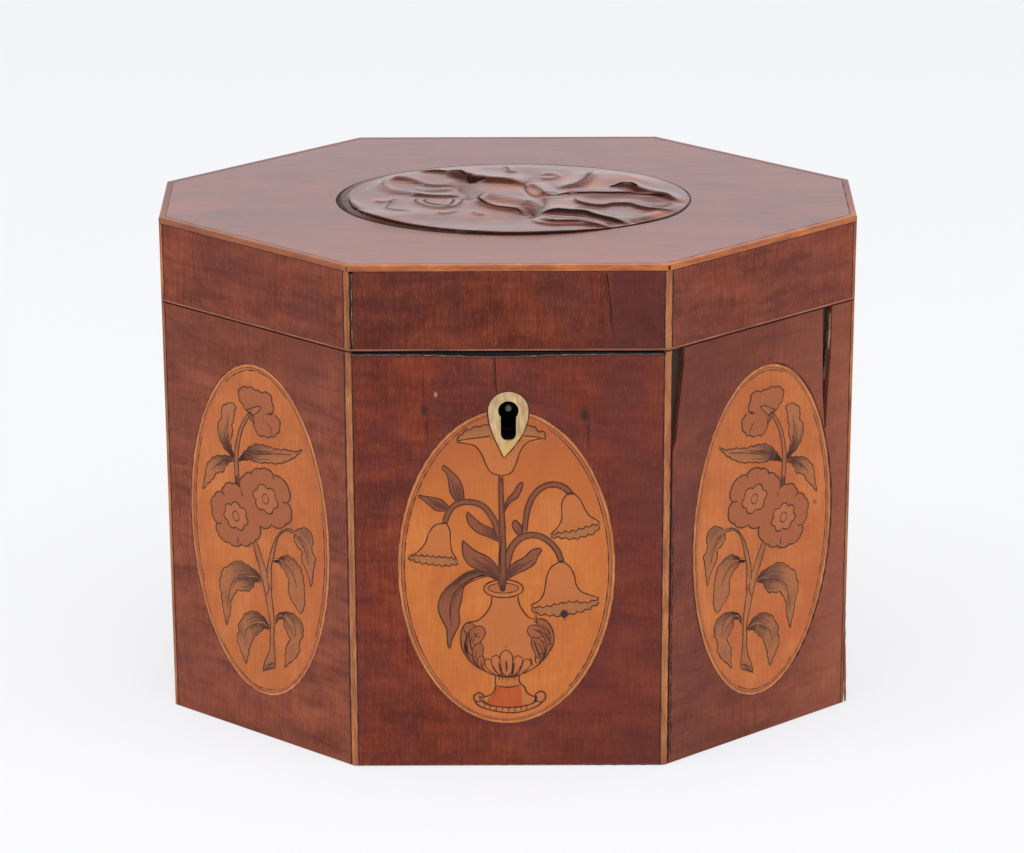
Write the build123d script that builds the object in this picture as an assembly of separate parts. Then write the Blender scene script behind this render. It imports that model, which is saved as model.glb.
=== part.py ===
from build123d import *
import math
import os

os.makedirs("parts", exist_ok=True)

# An eight-sided veneered tea caddy with a hinged lid. Millimetres; +X right, -Y front, +Z up.
# The origin is the centre of the underside.

# Plan and height
case_length = 156.0
case_depth = 92.0
front_width = 70.0
side_width = 26.0
case_height = 100.0
lid_height = 20.0
seam_gap = 0.4

# Boards of the carcass
base_thickness = 7.0
wall_thickness = 7.0
lid_board_thickness = 5.0

# Veneers and boxwood lines
veneer_thickness = 1.2
base_reveal = 0.2
glue_line = 0.08
corner_string_face = 0.9
corner_string_round = 0.35
arris_string_cover = 0.3
arris_string_seat = 0.1
arris_string_round = 0.3
rim_string_height = 0.45

# Satinwood ovals
front_oval_width = 48.4
front_oval_height = 76.0
front_oval_shift = (-0.5, -1.3)
front_motif_shift = (-1.0, -1.3)
canted_oval_width = 41.0
canted_oval_height = 80.6
right_oval_shift = (1.0, 0.2)
left_oval_shift = (0.4, 0.8)
lid_oval_length = 80.0
lid_oval_width = 50.6
lid_oval_centre = (1.4, -0.2)
lid_oval_rise = 0.3
lid_oval_bevel = 0.2
banding_width = 0.7

# Marquetry
cuts_per_arc = 3
rose_scallop = 0.13
urn_middle = 0.3
right_motif_shift = -0.9
right_motif_turn = -2.0

# Escutcheon and keyhole
key_drop = 13.6
escutcheon_width = 8.8
escutcheon_crown = 4.4
escutcheon_drop = 11.0
escutcheon_lean = -1.0
escutcheon_shoulder_drop = 4.4
escutcheon_waist_drop = 7.5
escutcheon_waist_left = -2.4
escutcheon_waist_right = 2.0
escutcheon_proud = 0.15
keyhole_radius = 2.25
keyhole_slot_width = 3.4
keyhole_drop = 7.1

# Box lock in the front board
lock_plate_width = 37.0
lock_height = 21.0
lock_plate_thickness = 1.0
selvedge_depth = 6.0
selvedge_thickness = 1.2
lock_case_width = 31.0
lock_case_depth = 4.0
lock_case_wall = 0.5
lock_case_rise = 1.2
drill_pin_radius = 0.95
drill_pin_length = 5.8
drill_pin_round = 0.3
bolt_travel = 4.5
bolt_bar_height = 1.8
bolt_bar_thickness = 1.5
horn_height = 1.8
horn_thickness = 1.2
horn_reach = 4.2
horn_post_width = 2.0
talon_width = 4.0
talon_depth = 0.9
spring_thickness = 0.4
spring_seat = 2.0
spring_reach = 10.3
spring_bow = 2.2
bolt_running_gap = 0.2

# Link plate in the lid
link_plate_length = 30.0
link_plate_width = 5.2
link_plate_thickness = 1.2
loop_spacing = 14.0
loop_thickness = 1.6
loop_width = 2.6
loop_drop = 7.4
loop_floor = 0.9
loop_eye_width = 1.6
loop_eye_height = 3.0
loop_clearance = 0.5
horn_standoff = 0.6

# Butt hinges at the back
hinge_spacing = 42.0
hinge_width = 16.0
hinge_leaf_depth = 6.4
hinge_leaf_thickness = 1.1
hinge_axis_proud = 0.4
knuckle_radius = 1.8
knuckle_gap = 0.15
knuckle_swing_gap = 0.3
hinge_pin_radius = 0.75
hinge_pin_overhang = 0.3
hinge_bore_clearance = 0.05

# Brass screws
screw_head_radius = 1.3
screw_shank_radius = 0.65
screw_length = 5.5
screw_facets = 8
hinge_screw_spacing = 10.0
link_screw_spacing = 24.0
lock_screw_spacing = 34.0
lock_screw_rise = 11.4

# Fittings inside
lining_thickness = 2.0
ledge_drop = 14.0
foil_thickness = 0.25
inner_lid_thickness = 3.0
inner_lid_clearance = 0.5
inner_lid_gap = 0.1
knob_height = 9.0
knob_ball_radius = 3.7
knob_neck_radius = 2.1
knob_foot_radius = 3.8
knob_foot_height = 1.0
knob_peg_radius = 1.4
knob_ball_start = -40

# Places worked out from the sizes
FACES = ["front", "front_right", "right", "back_right", "back", "back_left", "left", "front_left"]
CANTED = [1, 3, 5, 7]
SIDES = [2, 6]
FRONT = 0
BACK = 4

rim = case_height
lid_bottom = case_height + seam_gap
lid_top = case_height + lid_height
lid_board_top = lid_top - veneer_thickness
lid_ceiling = lid_board_top - lid_board_thickness
arris_string_width = veneer_thickness + arris_string_cover
arris_bottom = lid_board_top - arris_string_seat
wall_outside = veneer_thickness
wall_inside = veneer_thickness + wall_thickness
lining_inside = wall_inside + lining_thickness
front_y = -case_depth / 2
back_y = case_depth / 2
hinge_y = back_y + hinge_axis_proud
hinge_z = (rim + lid_bottom) / 2
key_height = rim - key_drop
ledge_height = rim - ledge_drop


def shifted_middle(shift):
    """Place on a face of the case, measured from the middle of its height."""
    return (shift[0], case_height / 2 + shift[1])


front_oval_centre = shifted_middle(front_oval_shift)
right_oval_centre = shifted_middle(right_oval_shift)
left_oval_centre = shifted_middle(left_oval_shift)


def octagon_corners(inset):
    """Corners of the plan, anticlockwise from front left, with every face moved in by inset."""
    half_front = front_width / 2
    half_side = side_width / 2
    half_length = case_length / 2
    half_depth = case_depth / 2
    quarter = [(half_front, -half_depth), (half_length, -half_side)]
    mirrored = [(x, -y) for x, y in reversed(quarter)]
    right = quarter + mirrored
    left = [(-x, y) for x, y in reversed(right)]
    corners = [Vector(x, y, 0) for x, y in [left[-1]] + right + left[:-1]]
    moved = []
    for i, corner in enumerate(corners):
        before = (corner - corners[i - 1]).normalized()
        after = (corners[(i + 1) % 8] - corner).normalized()
        inward_before = Vector(-before.Y, before.X, 0)
        inward_after = Vector(-after.Y, after.X, 0)
        both = inward_before + inward_after
        moved.append(corner + both * (inset / (1 + inward_before.dot(inward_after))))
    return moved


def face_plane(face):
    """Upright plane on an outer face: x along the face to the viewer's right, y up from the base."""
    corners = octagon_corners(0)
    start = corners[face]
    end = corners[(face + 1) % 8]
    along = (end - start).normalized()
    outward = Vector(along.Y, -along.X, 0)
    return Plane(origin=(start + end) * 0.5, x_dir=along, z_dir=outward)


def face_width(face):
    """Width of an outer face from corner to corner."""
    corners = octagon_corners(0)
    return (corners[(face + 1) % 8] - corners[face]).length


def prism(points, bottom, top):
    """Upright prism on a plan outline."""
    outline = Polygon(*[(p.X, p.Y) for p in points], align=None)
    return extrude(Plane.XY.offset(bottom) * outline, amount=top - bottom)


def octagon_slab(inset, bottom, top):
    """Full eight-sided slab."""
    return prism(octagon_corners(inset), bottom, top)


def mitred_board(face, outer, inner, bottom, top):
    """Board along one face, between two insets, mitred to its neighbours."""
    outside = octagon_corners(outer)
    inside = octagon_corners(inner)
    after = (face + 1) % 8
    return prism([outside[face], outside[after], inside[after], inside[face]], bottom, top)


def block(x_range, y_range, z_range):
    """Rectangular block between pairs of limits."""
    size = [high - low for low, high in (x_range, y_range, z_range)]
    middle = [(high + low) / 2 for low, high in (x_range, y_range, z_range)]
    return Pos(*middle) * Box(*size)


def sheet_on_face(face, bottom, top):
    """Veneer on one face, stopping short of the corner strings."""
    width = face_width(face) - 2 * (corner_string_face + glue_line)
    outline = Pos(0, (bottom + top) / 2) * Rectangle(width, top - bottom)
    return extrude(face_plane(face) * outline, amount=-veneer_thickness)


def through_face(face, outline):
    """Solid of a face outline, right through the veneer."""
    plane = face_plane(face)
    return extrude(plane * outline, amount=veneer_thickness, dir=-plane.z_dir)


def corner_string(corner, bottom, top):
    """Boxwood string that fills the arris between two veneers, its outer edge eased."""
    outside = octagon_corners(0)
    arris = outside[corner]
    before = (arris - outside[corner - 1]).normalized()
    after = (outside[(corner + 1) % 8] - arris).normalized()
    inward_before = Vector(-before.Y, before.X, 0)
    inward_after = Vector(-after.Y, after.X, 0)
    end_before = arris - before * corner_string_face
    end_after = arris + after * corner_string_face
    outline = [
        end_before,
        arris,
        end_after,
        end_after + inward_after * veneer_thickness,
        octagon_corners(veneer_thickness)[corner],
        end_before + inward_before * veneer_thickness,
    ]
    string = prism(outline, bottom, top)
    edge = string.edges().filter_by(Axis.Z).sort_by_distance((arris.X, arris.Y, (bottom + top) / 2))[0]
    return fillet(edge, corner_string_round)


def oval(width, height, centre, inset=0.0):
    """Ellipse at a place on a face, drawn in by inset."""
    return Pos(*centre) * Ellipse(width / 2 - inset, height / 2 - inset)


def escutcheon_outline():
    """Teardrop kite: a round crown whose sides curve down to a tip that leans a little."""
    half = escutcheon_width / 2
    tip = (escutcheon_lean, key_height - escutcheon_drop)
    shoulder = key_height - escutcheon_shoulder_drop
    waist = key_height - escutcheon_waist_drop
    crown = EllipticalCenterArc((0, key_height), half, escutcheon_crown, start_angle=0, arc_size=180)
    left = Bezier((-half, key_height), (-half, shoulder), (escutcheon_waist_left, waist), tip)
    right = Bezier(tip, (escutcheon_waist_right, waist), (half, shoulder), (half, key_height))
    return make_face([crown, left, right])


def keyhole_outline(grow=0.0):
    """Round eye for the drill pin over a straight slot with a round end."""
    eye = Pos(0, key_height) * Circle(keyhole_radius + grow)
    slot_radius = keyhole_slot_width / 2 + grow
    foot = key_height - keyhole_drop + keyhole_slot_width / 2
    slot = Pos(0, (key_height + foot) / 2) * Rectangle(2 * slot_radius, key_height - foot)
    return eye + slot + Pos(0, foot) * Circle(slot_radius)


def screw():
    """Countersunk wood screw pointing down from its head's face at the origin, drawn with facets."""
    head_depth = screw_head_radius - screw_shank_radius
    face = RegularPolygon(screw_head_radius, screw_facets, major_radius=False)
    neck = Pos(0, 0, -head_depth) * RegularPolygon(screw_shank_radius, screw_facets, major_radius=False)
    head = loft([face, neck])
    return head + extrude(neck, amount=head_depth - screw_length)


def screws_at(places):
    """Screws at a list of locations."""
    return [place * screw() for place in places]


def cut(solid, cutters):
    """Take every cutter out of a solid."""
    for cutter in cutters:
        solid -= cutter
    return solid


def save(name, *solids):
    """Write a node of one or more separate solids."""
    pieces = []
    for solid in solids:
        pieces.extend(solid.solids())
    export_step(pieces[0] if len(pieces) == 1 else Compound(children=pieces), f"parts/{name}.step")


# Veneer losses and shrinkage cracks, drawn on a face as (along, up)

left_loss_width = 3.4
left_loss_shoulder_drop = 4.0
left_loss_waist_width = 1.9
left_loss_waist_drop = 16.0
left_loss_foot_width = 1.5
left_loss_foot_drop = 21.0
split_start_drop = 24.0
split_start_width = 0.45
split_width = 0.3
split_foot = 1.0
slit_reach = 3.9
slit_width = 2.8
slit_shoulder_drop = 11.0
slit_waist_drop = 20.0
slit_waist_start = 0.5
slit_waist_width = 1.7
slit_foot_drop = 29.0
slit_foot_start = 1.4
slit_foot_width = 0.4
front_crack_top_x = -3.2
front_crack_foot_x = -2.4
front_crack_length = 9.8
lid_crack_top_x = 21.3
lid_crack_foot_x = 23.2
lid_crack_end = 2.0
crack_width = 0.3


def left_loss():
    """Tapered strip lost beside the front right arris, and the open split below it."""
    edge = corner_string_face + glue_line - face_width(1) / 2
    return Polygon(
        (edge, rim),
        (edge + left_loss_width, rim),
        (edge + left_loss_width, rim - left_loss_shoulder_drop),
        (edge + left_loss_waist_width, rim - left_loss_waist_drop),
        (edge + left_loss_foot_width, rim - left_loss_foot_drop),
        (edge + split_start_width, rim - split_start_drop),
        (edge + split_width, split_foot),
        (edge, split_foot),
        align=None,
    )


def right_slit():
    """Tapered slit near the side arris of the same face, run down to the oval's edge."""
    left = right_oval_centre[0] + canted_oval_width / 2 - slit_reach
    waist_left = left + slit_waist_start
    foot_left = left + slit_foot_start
    return Polygon(
        (left, rim),
        (left + slit_width, rim),
        (left + slit_width, rim - slit_shoulder_drop),
        (waist_left + slit_waist_width, rim - slit_waist_drop),
        (foot_left + slit_foot_width, rim - slit_foot_drop),
        (foot_left, rim - slit_foot_drop),
        (waist_left, rim - slit_waist_drop),
        align=None,
    )


def crack(top, foot):
    """Hairline shrinkage crack, widest at its top."""
    return Polygon((top[0], top[1]), (top[0] + crack_width, top[1]), foot, align=None)


# Carcass of the case

case_boards = [mitred_board(i, wall_outside, wall_inside, base_thickness, rim) for i in range(8)]
base_board = octagon_slab(wall_outside, 0, base_thickness)

# Butt hinges


def barrel(x_range, radius):
    """Cylinder on the hinge axis between two places along it."""
    middle = sum(x_range) / 2
    turned = Pos(middle, hinge_y, hinge_z) * Rot(0, 90, 0)
    return turned * Cylinder(radius, x_range[1] - x_range[0])


def leaf_plate(centre, bottom, top):
    """Flat of a hinge leaf, from inside the board to the hinge axis."""
    half = hinge_width / 2
    return block((centre - half, centre + half), (hinge_y - hinge_leaf_depth, hinge_y), (bottom, top))


def leaf_screw_places(centre, upwards):
    """Two screws through a leaf, into the case or up into the lid."""
    inner_edge = hinge_y - hinge_leaf_depth
    y = (inner_edge + back_y - veneer_thickness) / 2
    places = []
    for side in (-1, 1):
        x = centre + side * hinge_screw_spacing / 2
        if upwards:
            places.append(Pos(x, y, lid_bottom) * Rot(180, 0, 0))
        else:
            places.append(Pos(x, y, rim))
    return places


case_leaves = []
lid_leaves = []
hinge_pins = []
case_hinge_places = []
lid_hinge_places = []
case_hinge_cuts = []
lid_hinge_cuts = []
knuckle_run = hinge_width / 3
swing_radius = knuckle_radius + knuckle_swing_gap
for side in (-1, 1):
    middle = side * hinge_spacing / 2
    start = middle - hinge_width / 2
    end = middle + hinge_width / 2
    inner_start = start + knuckle_run
    inner_end = end - knuckle_run
    case_plate = leaf_plate(middle, rim - hinge_leaf_thickness, rim)
    lid_plate = leaf_plate(middle, lid_bottom, lid_bottom + hinge_leaf_thickness)
    pin_span = (start - hinge_pin_overhang, end + hinge_pin_overhang)
    pin = barrel(pin_span, hinge_pin_radius)
    lid_bore = barrel(pin_span, hinge_pin_radius + hinge_bore_clearance)

    case_leaf = case_plate + barrel((start, inner_start), knuckle_radius)
    case_leaf += barrel((inner_end, end), knuckle_radius)
    case_leaf -= barrel((inner_start, inner_end), swing_radius)
    case_leaf -= pin

    lid_knuckle_span = (inner_start + knuckle_gap, inner_end - knuckle_gap)
    lid_leaf = lid_plate - barrel((start, inner_start + knuckle_gap), swing_radius)
    lid_leaf -= barrel((inner_end - knuckle_gap, end), swing_radius)
    lid_leaf += barrel(lid_knuckle_span, knuckle_radius)
    lid_leaf -= lid_bore

    down_places = leaf_screw_places(middle, upwards=False)
    up_places = leaf_screw_places(middle, upwards=True)
    notch = barrel((pin_span[0] - knuckle_swing_gap, pin_span[1] + knuckle_swing_gap), swing_radius)
    case_leaves.append(cut(case_leaf, screws_at(down_places)))
    lid_leaves.append(cut(lid_leaf, screws_at(up_places)))
    hinge_pins.append(pin)
    case_hinge_places += down_places
    lid_hinge_places += up_places
    case_hinge_cuts += [case_plate, notch]
    lid_hinge_cuts += [lid_plate, notch]

# Box lock

inner_face_y = front_y + wall_inside
lock_front_y = inner_face_y - lock_plate_thickness
lock_case_front_y = lock_front_y - lock_case_depth
lock_foot = rim - lock_height
selvedge_under = rim - selvedge_thickness
lock_case_foot = lock_foot + lock_case_rise
loop_y = lock_front_y - (lock_case_depth - lock_case_wall) / 2
loop_foot = lid_bottom - loop_drop
horn_middle = loop_foot + loop_floor + loop_eye_height / 2
bar_top = loop_foot - horn_standoff
bar_bottom = bar_top - bolt_bar_height


def half_span(width):
    """Limits of a width centred on the middle of the front."""
    return (-width / 2, width / 2)


def loop_sides(grow=0.0):
    """X limits of the two link loops."""
    half = loop_thickness / 2 + grow
    return [(side * loop_spacing / 2 - half, side * loop_spacing / 2 + half) for side in (-1, 1)]


def around(middle, width):
    """Limits of a width about a middle."""
    return (middle - width / 2, middle + width / 2)


lock_flat = block(half_span(lock_plate_width), (lock_front_y, inner_face_y), (lock_foot, rim))
selvedge = block(
    half_span(lock_plate_width),
    (inner_face_y - selvedge_depth, inner_face_y),
    (selvedge_under, rim),
)
lock_plate = lock_flat + selvedge
for span in loop_sides(loop_clearance):
    slot_y = around(loop_y, loop_width + 2 * loop_clearance)
    lock_plate -= block(span, (slot_y[0], min(slot_y[1], lock_front_y)), (selvedge_under, rim))

lock_box = block(
    half_span(lock_case_width),
    (lock_case_front_y, lock_front_y),
    (lock_case_foot, selvedge_under),
)
lock_room = block(
    half_span(lock_case_width - 2 * lock_case_wall),
    (lock_case_front_y + lock_case_wall, lock_front_y),
    (lock_case_foot + lock_case_wall, selvedge_under),
)
keyhole_cutter = extrude(
    face_plane(FRONT) * keyhole_outline(),
    amount=-(wall_inside - lock_plate_thickness),
)
lock_case = lock_box - lock_room - keyhole_cutter

pin_place = Pos(0, lock_front_y, key_height) * Rot(90, 0, 0)
lock_pin = pin_place * Cylinder(
    drill_pin_radius, drill_pin_length, align=(Align.CENTER, Align.CENTER, Align.MIN)
)
lock_pin = chamfer(lock_pin.edges().sort_by(Axis.Y)[0], drill_pin_round)

lock_screw_places = []
for side in (-1, 1):
    for level in (-1, 1):
        x = side * lock_screw_spacing / 2
        z = rim - lock_height / 2 + level * lock_screw_rise / 2
        lock_screw_places.append(Pos(x, inner_face_y, z) * Rot(-90, 0, 0))
lock_plate = cut(lock_plate, screws_at(lock_screw_places))

# The bolt: a bar with two horns that pass sideways through the loops

horn_tips = [span[0] - horn_standoff for span in loop_sides()]
bar_end = horn_tips[1] - horn_reach
bar_start = horn_tips[0] - horn_reach - horn_post_width
bolt_y = around(loop_y, bolt_bar_thickness)
lock_bolt = block((bar_start, bar_end), bolt_y, (bar_bottom, bar_top))
for tip in horn_tips:
    post = (tip - horn_reach - horn_post_width, tip - horn_reach)
    top = horn_middle + horn_height / 2
    lock_bolt += block(post, bolt_y, (bar_top, top))
    lock_bolt += block((post[1], tip), around(loop_y, horn_thickness), around(horn_middle, horn_height))
talon = block(around(bolt_travel / 2, talon_width), bolt_y, (bar_bottom, bar_bottom + talon_depth))
lock_bolt -= Pos(bar_end - talon_width, 0, 0) * talon

spring_left = -lock_case_width / 2 + lock_case_wall
spring_path = ThreePointArc(
    (spring_left, lock_case_foot + lock_case_wall + spring_seat),
    (spring_left + spring_reach / 2, bar_bottom - spring_bow),
    (spring_left + spring_reach, bar_bottom - bolt_running_gap - spring_thickness),
)
spring_band = make_face(
    [
        spring_path,
        Line(spring_path @ 1, (spring_path @ 1) + Vector(0, spring_thickness)),
        Pos(0, spring_thickness) * spring_path,
        Line(spring_path @ 0, (spring_path @ 0) + Vector(0, spring_thickness)),
    ]
)
spring_plane = Plane(origin=(0, bolt_y[0], 0), x_dir=(1, 0, 0), z_dir=(0, -1, 0))
lock_spring = extrude(spring_plane * spring_band, amount=-bolt_bar_thickness)

# Link plate, let into the underside of the lid's front rail

link_y = around(loop_y, link_plate_width)
link_recess = block(half_span(link_plate_length), link_y, (lid_bottom, lid_bottom + link_plate_thickness))
link_plate = link_recess
for span in loop_sides():
    link_plate += block(span, around(loop_y, loop_width), (loop_foot, lid_bottom))
    link_plate -= block(span, around(loop_y, loop_eye_width), around(horn_middle, loop_eye_height))
link_places = []
for side in (-1, 1):
    link_places.append(Pos(side * link_screw_spacing / 2, loop_y, lid_bottom) * Rot(180, 0, 0))
link_plate = cut(link_plate, screws_at(link_places))

# Boards, with what is let into them

front_cuts = [lock_flat, selvedge, lock_box, keyhole_cutter]
case_boards[FRONT] = cut(case_boards[FRONT], front_cuts + screws_at(lock_screw_places))
case_boards[BACK] = cut(
    case_boards[BACK],
    case_hinge_cuts + screws_at(case_hinge_places),
)
save("base_board", base_board)
for i, name in enumerate(FACES):
    save(f"{name}_board", case_boards[i])

# Lid carcass

lid_rails = [mitred_board(i, wall_outside, wall_inside, lid_bottom, lid_ceiling) for i in range(8)]
lid_rails[FRONT] = cut(lid_rails[FRONT], [link_recess] + screws_at(link_places))
lid_rails[BACK] = cut(
    lid_rails[BACK],
    lid_hinge_cuts + screws_at(lid_hinge_places),
)
arris_rebate = octagon_slab(0, arris_bottom, lid_board_top) - octagon_slab(
    arris_string_width, arris_bottom, lid_board_top
)
lid_top_board = octagon_slab(wall_outside, lid_ceiling, lid_board_top) - arris_rebate
save("lid_top_board", lid_top_board)
save("lid_front_rail", lid_rails[FRONT])
save("lid_back_rail", lid_rails[BACK])
save("lid_canted_rails", *[lid_rails[i] for i in CANTED])
save("lid_side_rails", *[lid_rails[i] for i in SIDES])

# Face veneers of the case

escutcheon_cutter = through_face(FRONT, escutcheon_outline())
case_veneers = [sheet_on_face(i, base_reveal, rim) for i in range(8)]
front_crack = crack((front_crack_top_x, rim), (front_crack_foot_x, rim - front_crack_length))
front_opening = oval(front_oval_width, front_oval_height, front_oval_centre)
right_opening = oval(canted_oval_width, canted_oval_height, right_oval_centre)
left_opening = oval(canted_oval_width, canted_oval_height, left_oval_centre)
case_veneers[FRONT] = cut(
    case_veneers[FRONT],
    [
        through_face(FRONT, front_opening),
        escutcheon_cutter,
        through_face(FRONT, front_crack),
    ],
)
case_veneers[1] = cut(
    case_veneers[1],
    [through_face(1, outline) for outline in (right_opening, left_loss(), right_slit())],
)
case_veneers[7] = cut(case_veneers[7], [through_face(7, left_opening)])
case_veneers[BACK] = cut(case_veneers[BACK], case_hinge_cuts)
for i, name in enumerate(FACES):
    save(f"case_{name}_veneer", case_veneers[i])
save("case_corner_strings", *[corner_string(i, base_reveal, rim) for i in range(8)])

# Satinwood ovals with their bandings


def oval_pieces(face, width, height, centre, cutters):
    """Banding ring and ground of an oval panel, set in a face with a fine glue line."""
    outer = oval(width, height, centre, glue_line)
    ring = outer - oval(width, height, centre, glue_line + banding_width)
    ground = oval(width, height, centre, 2 * glue_line + banding_width)
    return [cut(through_face(face, outline), cutters) for outline in (ring, ground)]


front_banding, front_oval = oval_pieces(
    FRONT, front_oval_width, front_oval_height, front_oval_centre, [escutcheon_cutter]
)
right_banding, right_oval = oval_pieces(
    1, canted_oval_width, canted_oval_height, right_oval_centre, [through_face(1, right_slit())]
)
left_banding, left_oval = oval_pieces(7, canted_oval_width, canted_oval_height, left_oval_centre, [])
save("oval_bandings", front_banding, left_banding, right_banding)

# Marquetry of the ovals, drawn about the middle of an oval as (along, up)


def chained(points):
    """Arcs through every three points, each starting where the last ends."""
    return [ThreePointArc(*points[i : i + 3]) for i in range(0, len(points) - 2, 2)]


def sawn(points):
    """Ends of the straight saw cuts that follow chained arcs, without the last one."""
    return [arc @ (i / cuts_per_arc) for arc in chained(points) for i in range(cuts_per_arc)]


def inlay(*edges):
    """Piece of veneer between edges that run on from one another, back to the first."""
    outline = []
    for edge in edges:
        outline += sawn(edge)
    return Polygon(*outline, align=None)


def leaf(base, left, tip, right):
    """Leaf whose two edges leave the base and meet at the tip."""
    return inlay([base] + left + [tip], [tip] + right[::-1] + [base])


def stalk(points, foot_width, end_width):
    """Stalk along chained arcs, tapering evenly from its foot to its end."""
    arcs = chained(points)
    steps = cuts_per_arc * len(arcs)
    left = []
    right = []
    for step in range(steps + 1):
        i = min(step // cuts_per_arc, len(arcs) - 1)
        share = step / cuts_per_arc - i
        along = arcs[i] % share
        half = (foot_width + (end_width - foot_width) * step / steps) / 2
        left.append((arcs[i] @ share) + Vector(-along.Y, along.X) * half)
        right.append((arcs[i] @ share) - Vector(-along.Y, along.X) * half)
    return Polygon(*left, *right[::-1], align=None)


def rose(centre, radius, lobes):
    """Round flower whose scalloped edge is sawn straight, three cuts to a lobe."""
    cuts = 3 * lobes
    outline = []
    for i in range(cuts):
        reach = radius if i % 3 else radius * (1 - rose_scallop)
        turn = 2 * math.pi * i / cuts
        outline.append((centre[0] + reach * math.cos(turn), centre[1] + reach * math.sin(turn)))
    return Polygon(*outline, align=None)


def bell(neck, left, mouth, right):
    """Hanging bell flower: two flared sides from its neck and a curved mouth."""
    return inlay([neck] + left + [mouth[0]], mouth, [mouth[-1]] + right[::-1] + [neck])


def joined(pieces):
    """One outline of pieces that overlap or touch."""
    whole = pieces[0]
    for piece in pieces[1:]:
        whole += piece
    return whole


front_leaves = [
    leaf((-9.3, 15.6), [(-12.2, 19.9)], (-13.3, 24.9), [(-9.3, 20.1)]),
    leaf((-12.5, 14.3), [(-14.6, 16.9)], (-19.1, 17.6), [(-15.8, 14.1)]),
    leaf((-1.3, 6.7), [(-3.6, 10.2)], (-8.1, 13.7), [(-6.0, 8.6)]),
    leaf((0.1, 14.3), [(2.0, 17.9)], (4.2, 21.0), [(3.6, 17.2)]),
    leaf((3.1, 7.5), [(2.0, 9.9)], (2.4, 11.7), [(3.7, 10.1)]),
    leaf((-1.5, -2.3), [(-4.2, 3.3)], (-9.4, 7.1), [(-7.5, 0.3)]),
    leaf((0.4, -2.7), [(4.2, 1.7)], (7.9, 4.9), [(6.0, 0.3)]),
    leaf(
        (-2.0, -2.3),
        [(-8.4, -1.2), (-13.2, -5.0), (-14.6, -10.8)],
        (-12.4, -19.4),
        [(-6.6, -2.9), (-9.4, -6.3), (-10.4, -13.0)],
    ),
]
front_stalks = [
    stalk([(-0.6, 22.3), (-0.7, 9.0), (-0.3, -4.6)], 0.9, 1.5),
    stalk([(-0.9, 6.3), (-2.4, 11.2), (-7.0, 15.2), (-11.7, 14.5), (-13.2, 11.1)], 1.3, 1.0),
    stalk([(4.5, 8.3), (5.3, 14.8), (9.0, 19.8), (12.2, 20.2), (14.6, 18.2)], 1.1, 1.2),
    stalk([(0.1, -0.7), (1.4, 5.4), (5.6, 8.1), (10.4, 6.8), (12.5, 1.7)], 1.3, 1.1),
]
front_bells = [
    bell(
        (-13.3, 11.3),
        [(-16.0, 10.4), (-17.0, 8.0), (-18.6, 4.8)],
        [(-21.4, 2.8), (-15.6, 1.0), (-10.1, 1.3)],
        [(-12.0, 9.7), (-11.9, 7.5), (-11.4, 4.2)],
    ),
    bell(
        (14.7, 18.1),
        [(12.9, 16.4), (12.7, 14.0), (11.9, 10.4)],
        [(10.2, 7.3), (16.2, 7.4), (20.8, 10.2)],
        [(17.0, 16.5), (18.0, 14.2), (19.3, 12.0)],
    ),
    bell(
        (12.5, 1.5),
        [(9.7, -0.6), (9.1, -3.7), (8.0, -7.0)],
        [(5.6, -9.5), (13.0, -11.6), (21.3, -7.7)],
        [(15.2, -0.6), (16.2, -4.0), (18.2, -6.3)],
    ),
]
tulip = inlay(
    [(-10.5, 30.3), (-5.9, 29.0), (-3.9, 25.9), (-2.8, 23.6), (-0.6, 22.2)],
    [(-0.6, 22.2), (1.8, 23.9), (3.2, 27.0), (5.2, 30.0), (9.2, 31.0)],
    [(9.2, 31.0), (-0.6, 34.9), (-10.5, 30.3)],
)
urn_lip = sawn([(0.0, -3.4), (3.0, -3.8), (4.4, -4.9), (4.0, -5.7), (2.9, -6.0)])
urn_body = sawn(
    [(2.9, -6.0), (3.7, -9.8), (7.0, -12.4), (10.4, -16.4), (8.6, -21.9), (6.2, -24.7), (2.6, -26.0)]
)
urn_foot = sawn(
    [(2.6, -26.0), (2.2, -27.3), (2.8, -28.5), (4.6, -30.6), (6.9, -30.2), (8.0, -31.8), (6.0, -33.8)]
)
urn_base = sawn([(6.0, -33.8), (3.1, -35.0), (0.0, -35.4)])
half_urn = Polygon(*urn_lip, *urn_body, *urn_foot, *urn_base, (0.0, -35.4), align=None)
front_urn = Pos(urn_middle, 0) * (half_urn + mirror(half_urn, Plane.YZ))

stem_leaves = [
    leaf(
        (0.5, -12.2),
        [(-5.6, -9.0), (-11.0, -12.2), (-12.4, -19.2)],
        (-10.8, -26.5),
        [(-7.3, -17.0)],
    ),
    leaf((3.4, -6.8), [(8.4, -4.2), (11.8, -6.6), (13.0, -12.0)], (11.1, -17.2), [(8.3, -10.3)]),
    leaf((2.6, -23.8), [(-2.4, -20.6), (-6.1, -23.6), (-7.4, -29.0)], (-5.4, -34.5), [(-2.5, -27.6)]),
    leaf((3.9, -21.8), [(8.4, -17.9), (12.0, -20.6), (11.0, -26.8)], (6.4, -32.1), [(8.1, -25.4)]),
    leaf((10.3, 2.9), [(12.2, -2.2)], (14.9, -9.8), [(16.0, -1.2)]),
    leaf((-8.0, 16.6), [(-11.6, 22.8)], (-7.1, 29.7), [(-7.0, 23.6)]),
    leaf((-7.6, 15.6), [(-13.6, 14.4)], (-16.8, 6.1), [(-12.4, 11.4)]),
    leaf((-5.6, 16.0), [(2.8, 21.6)], (13.1, 23.3), [(5.0, 18.1)]),
]
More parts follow.
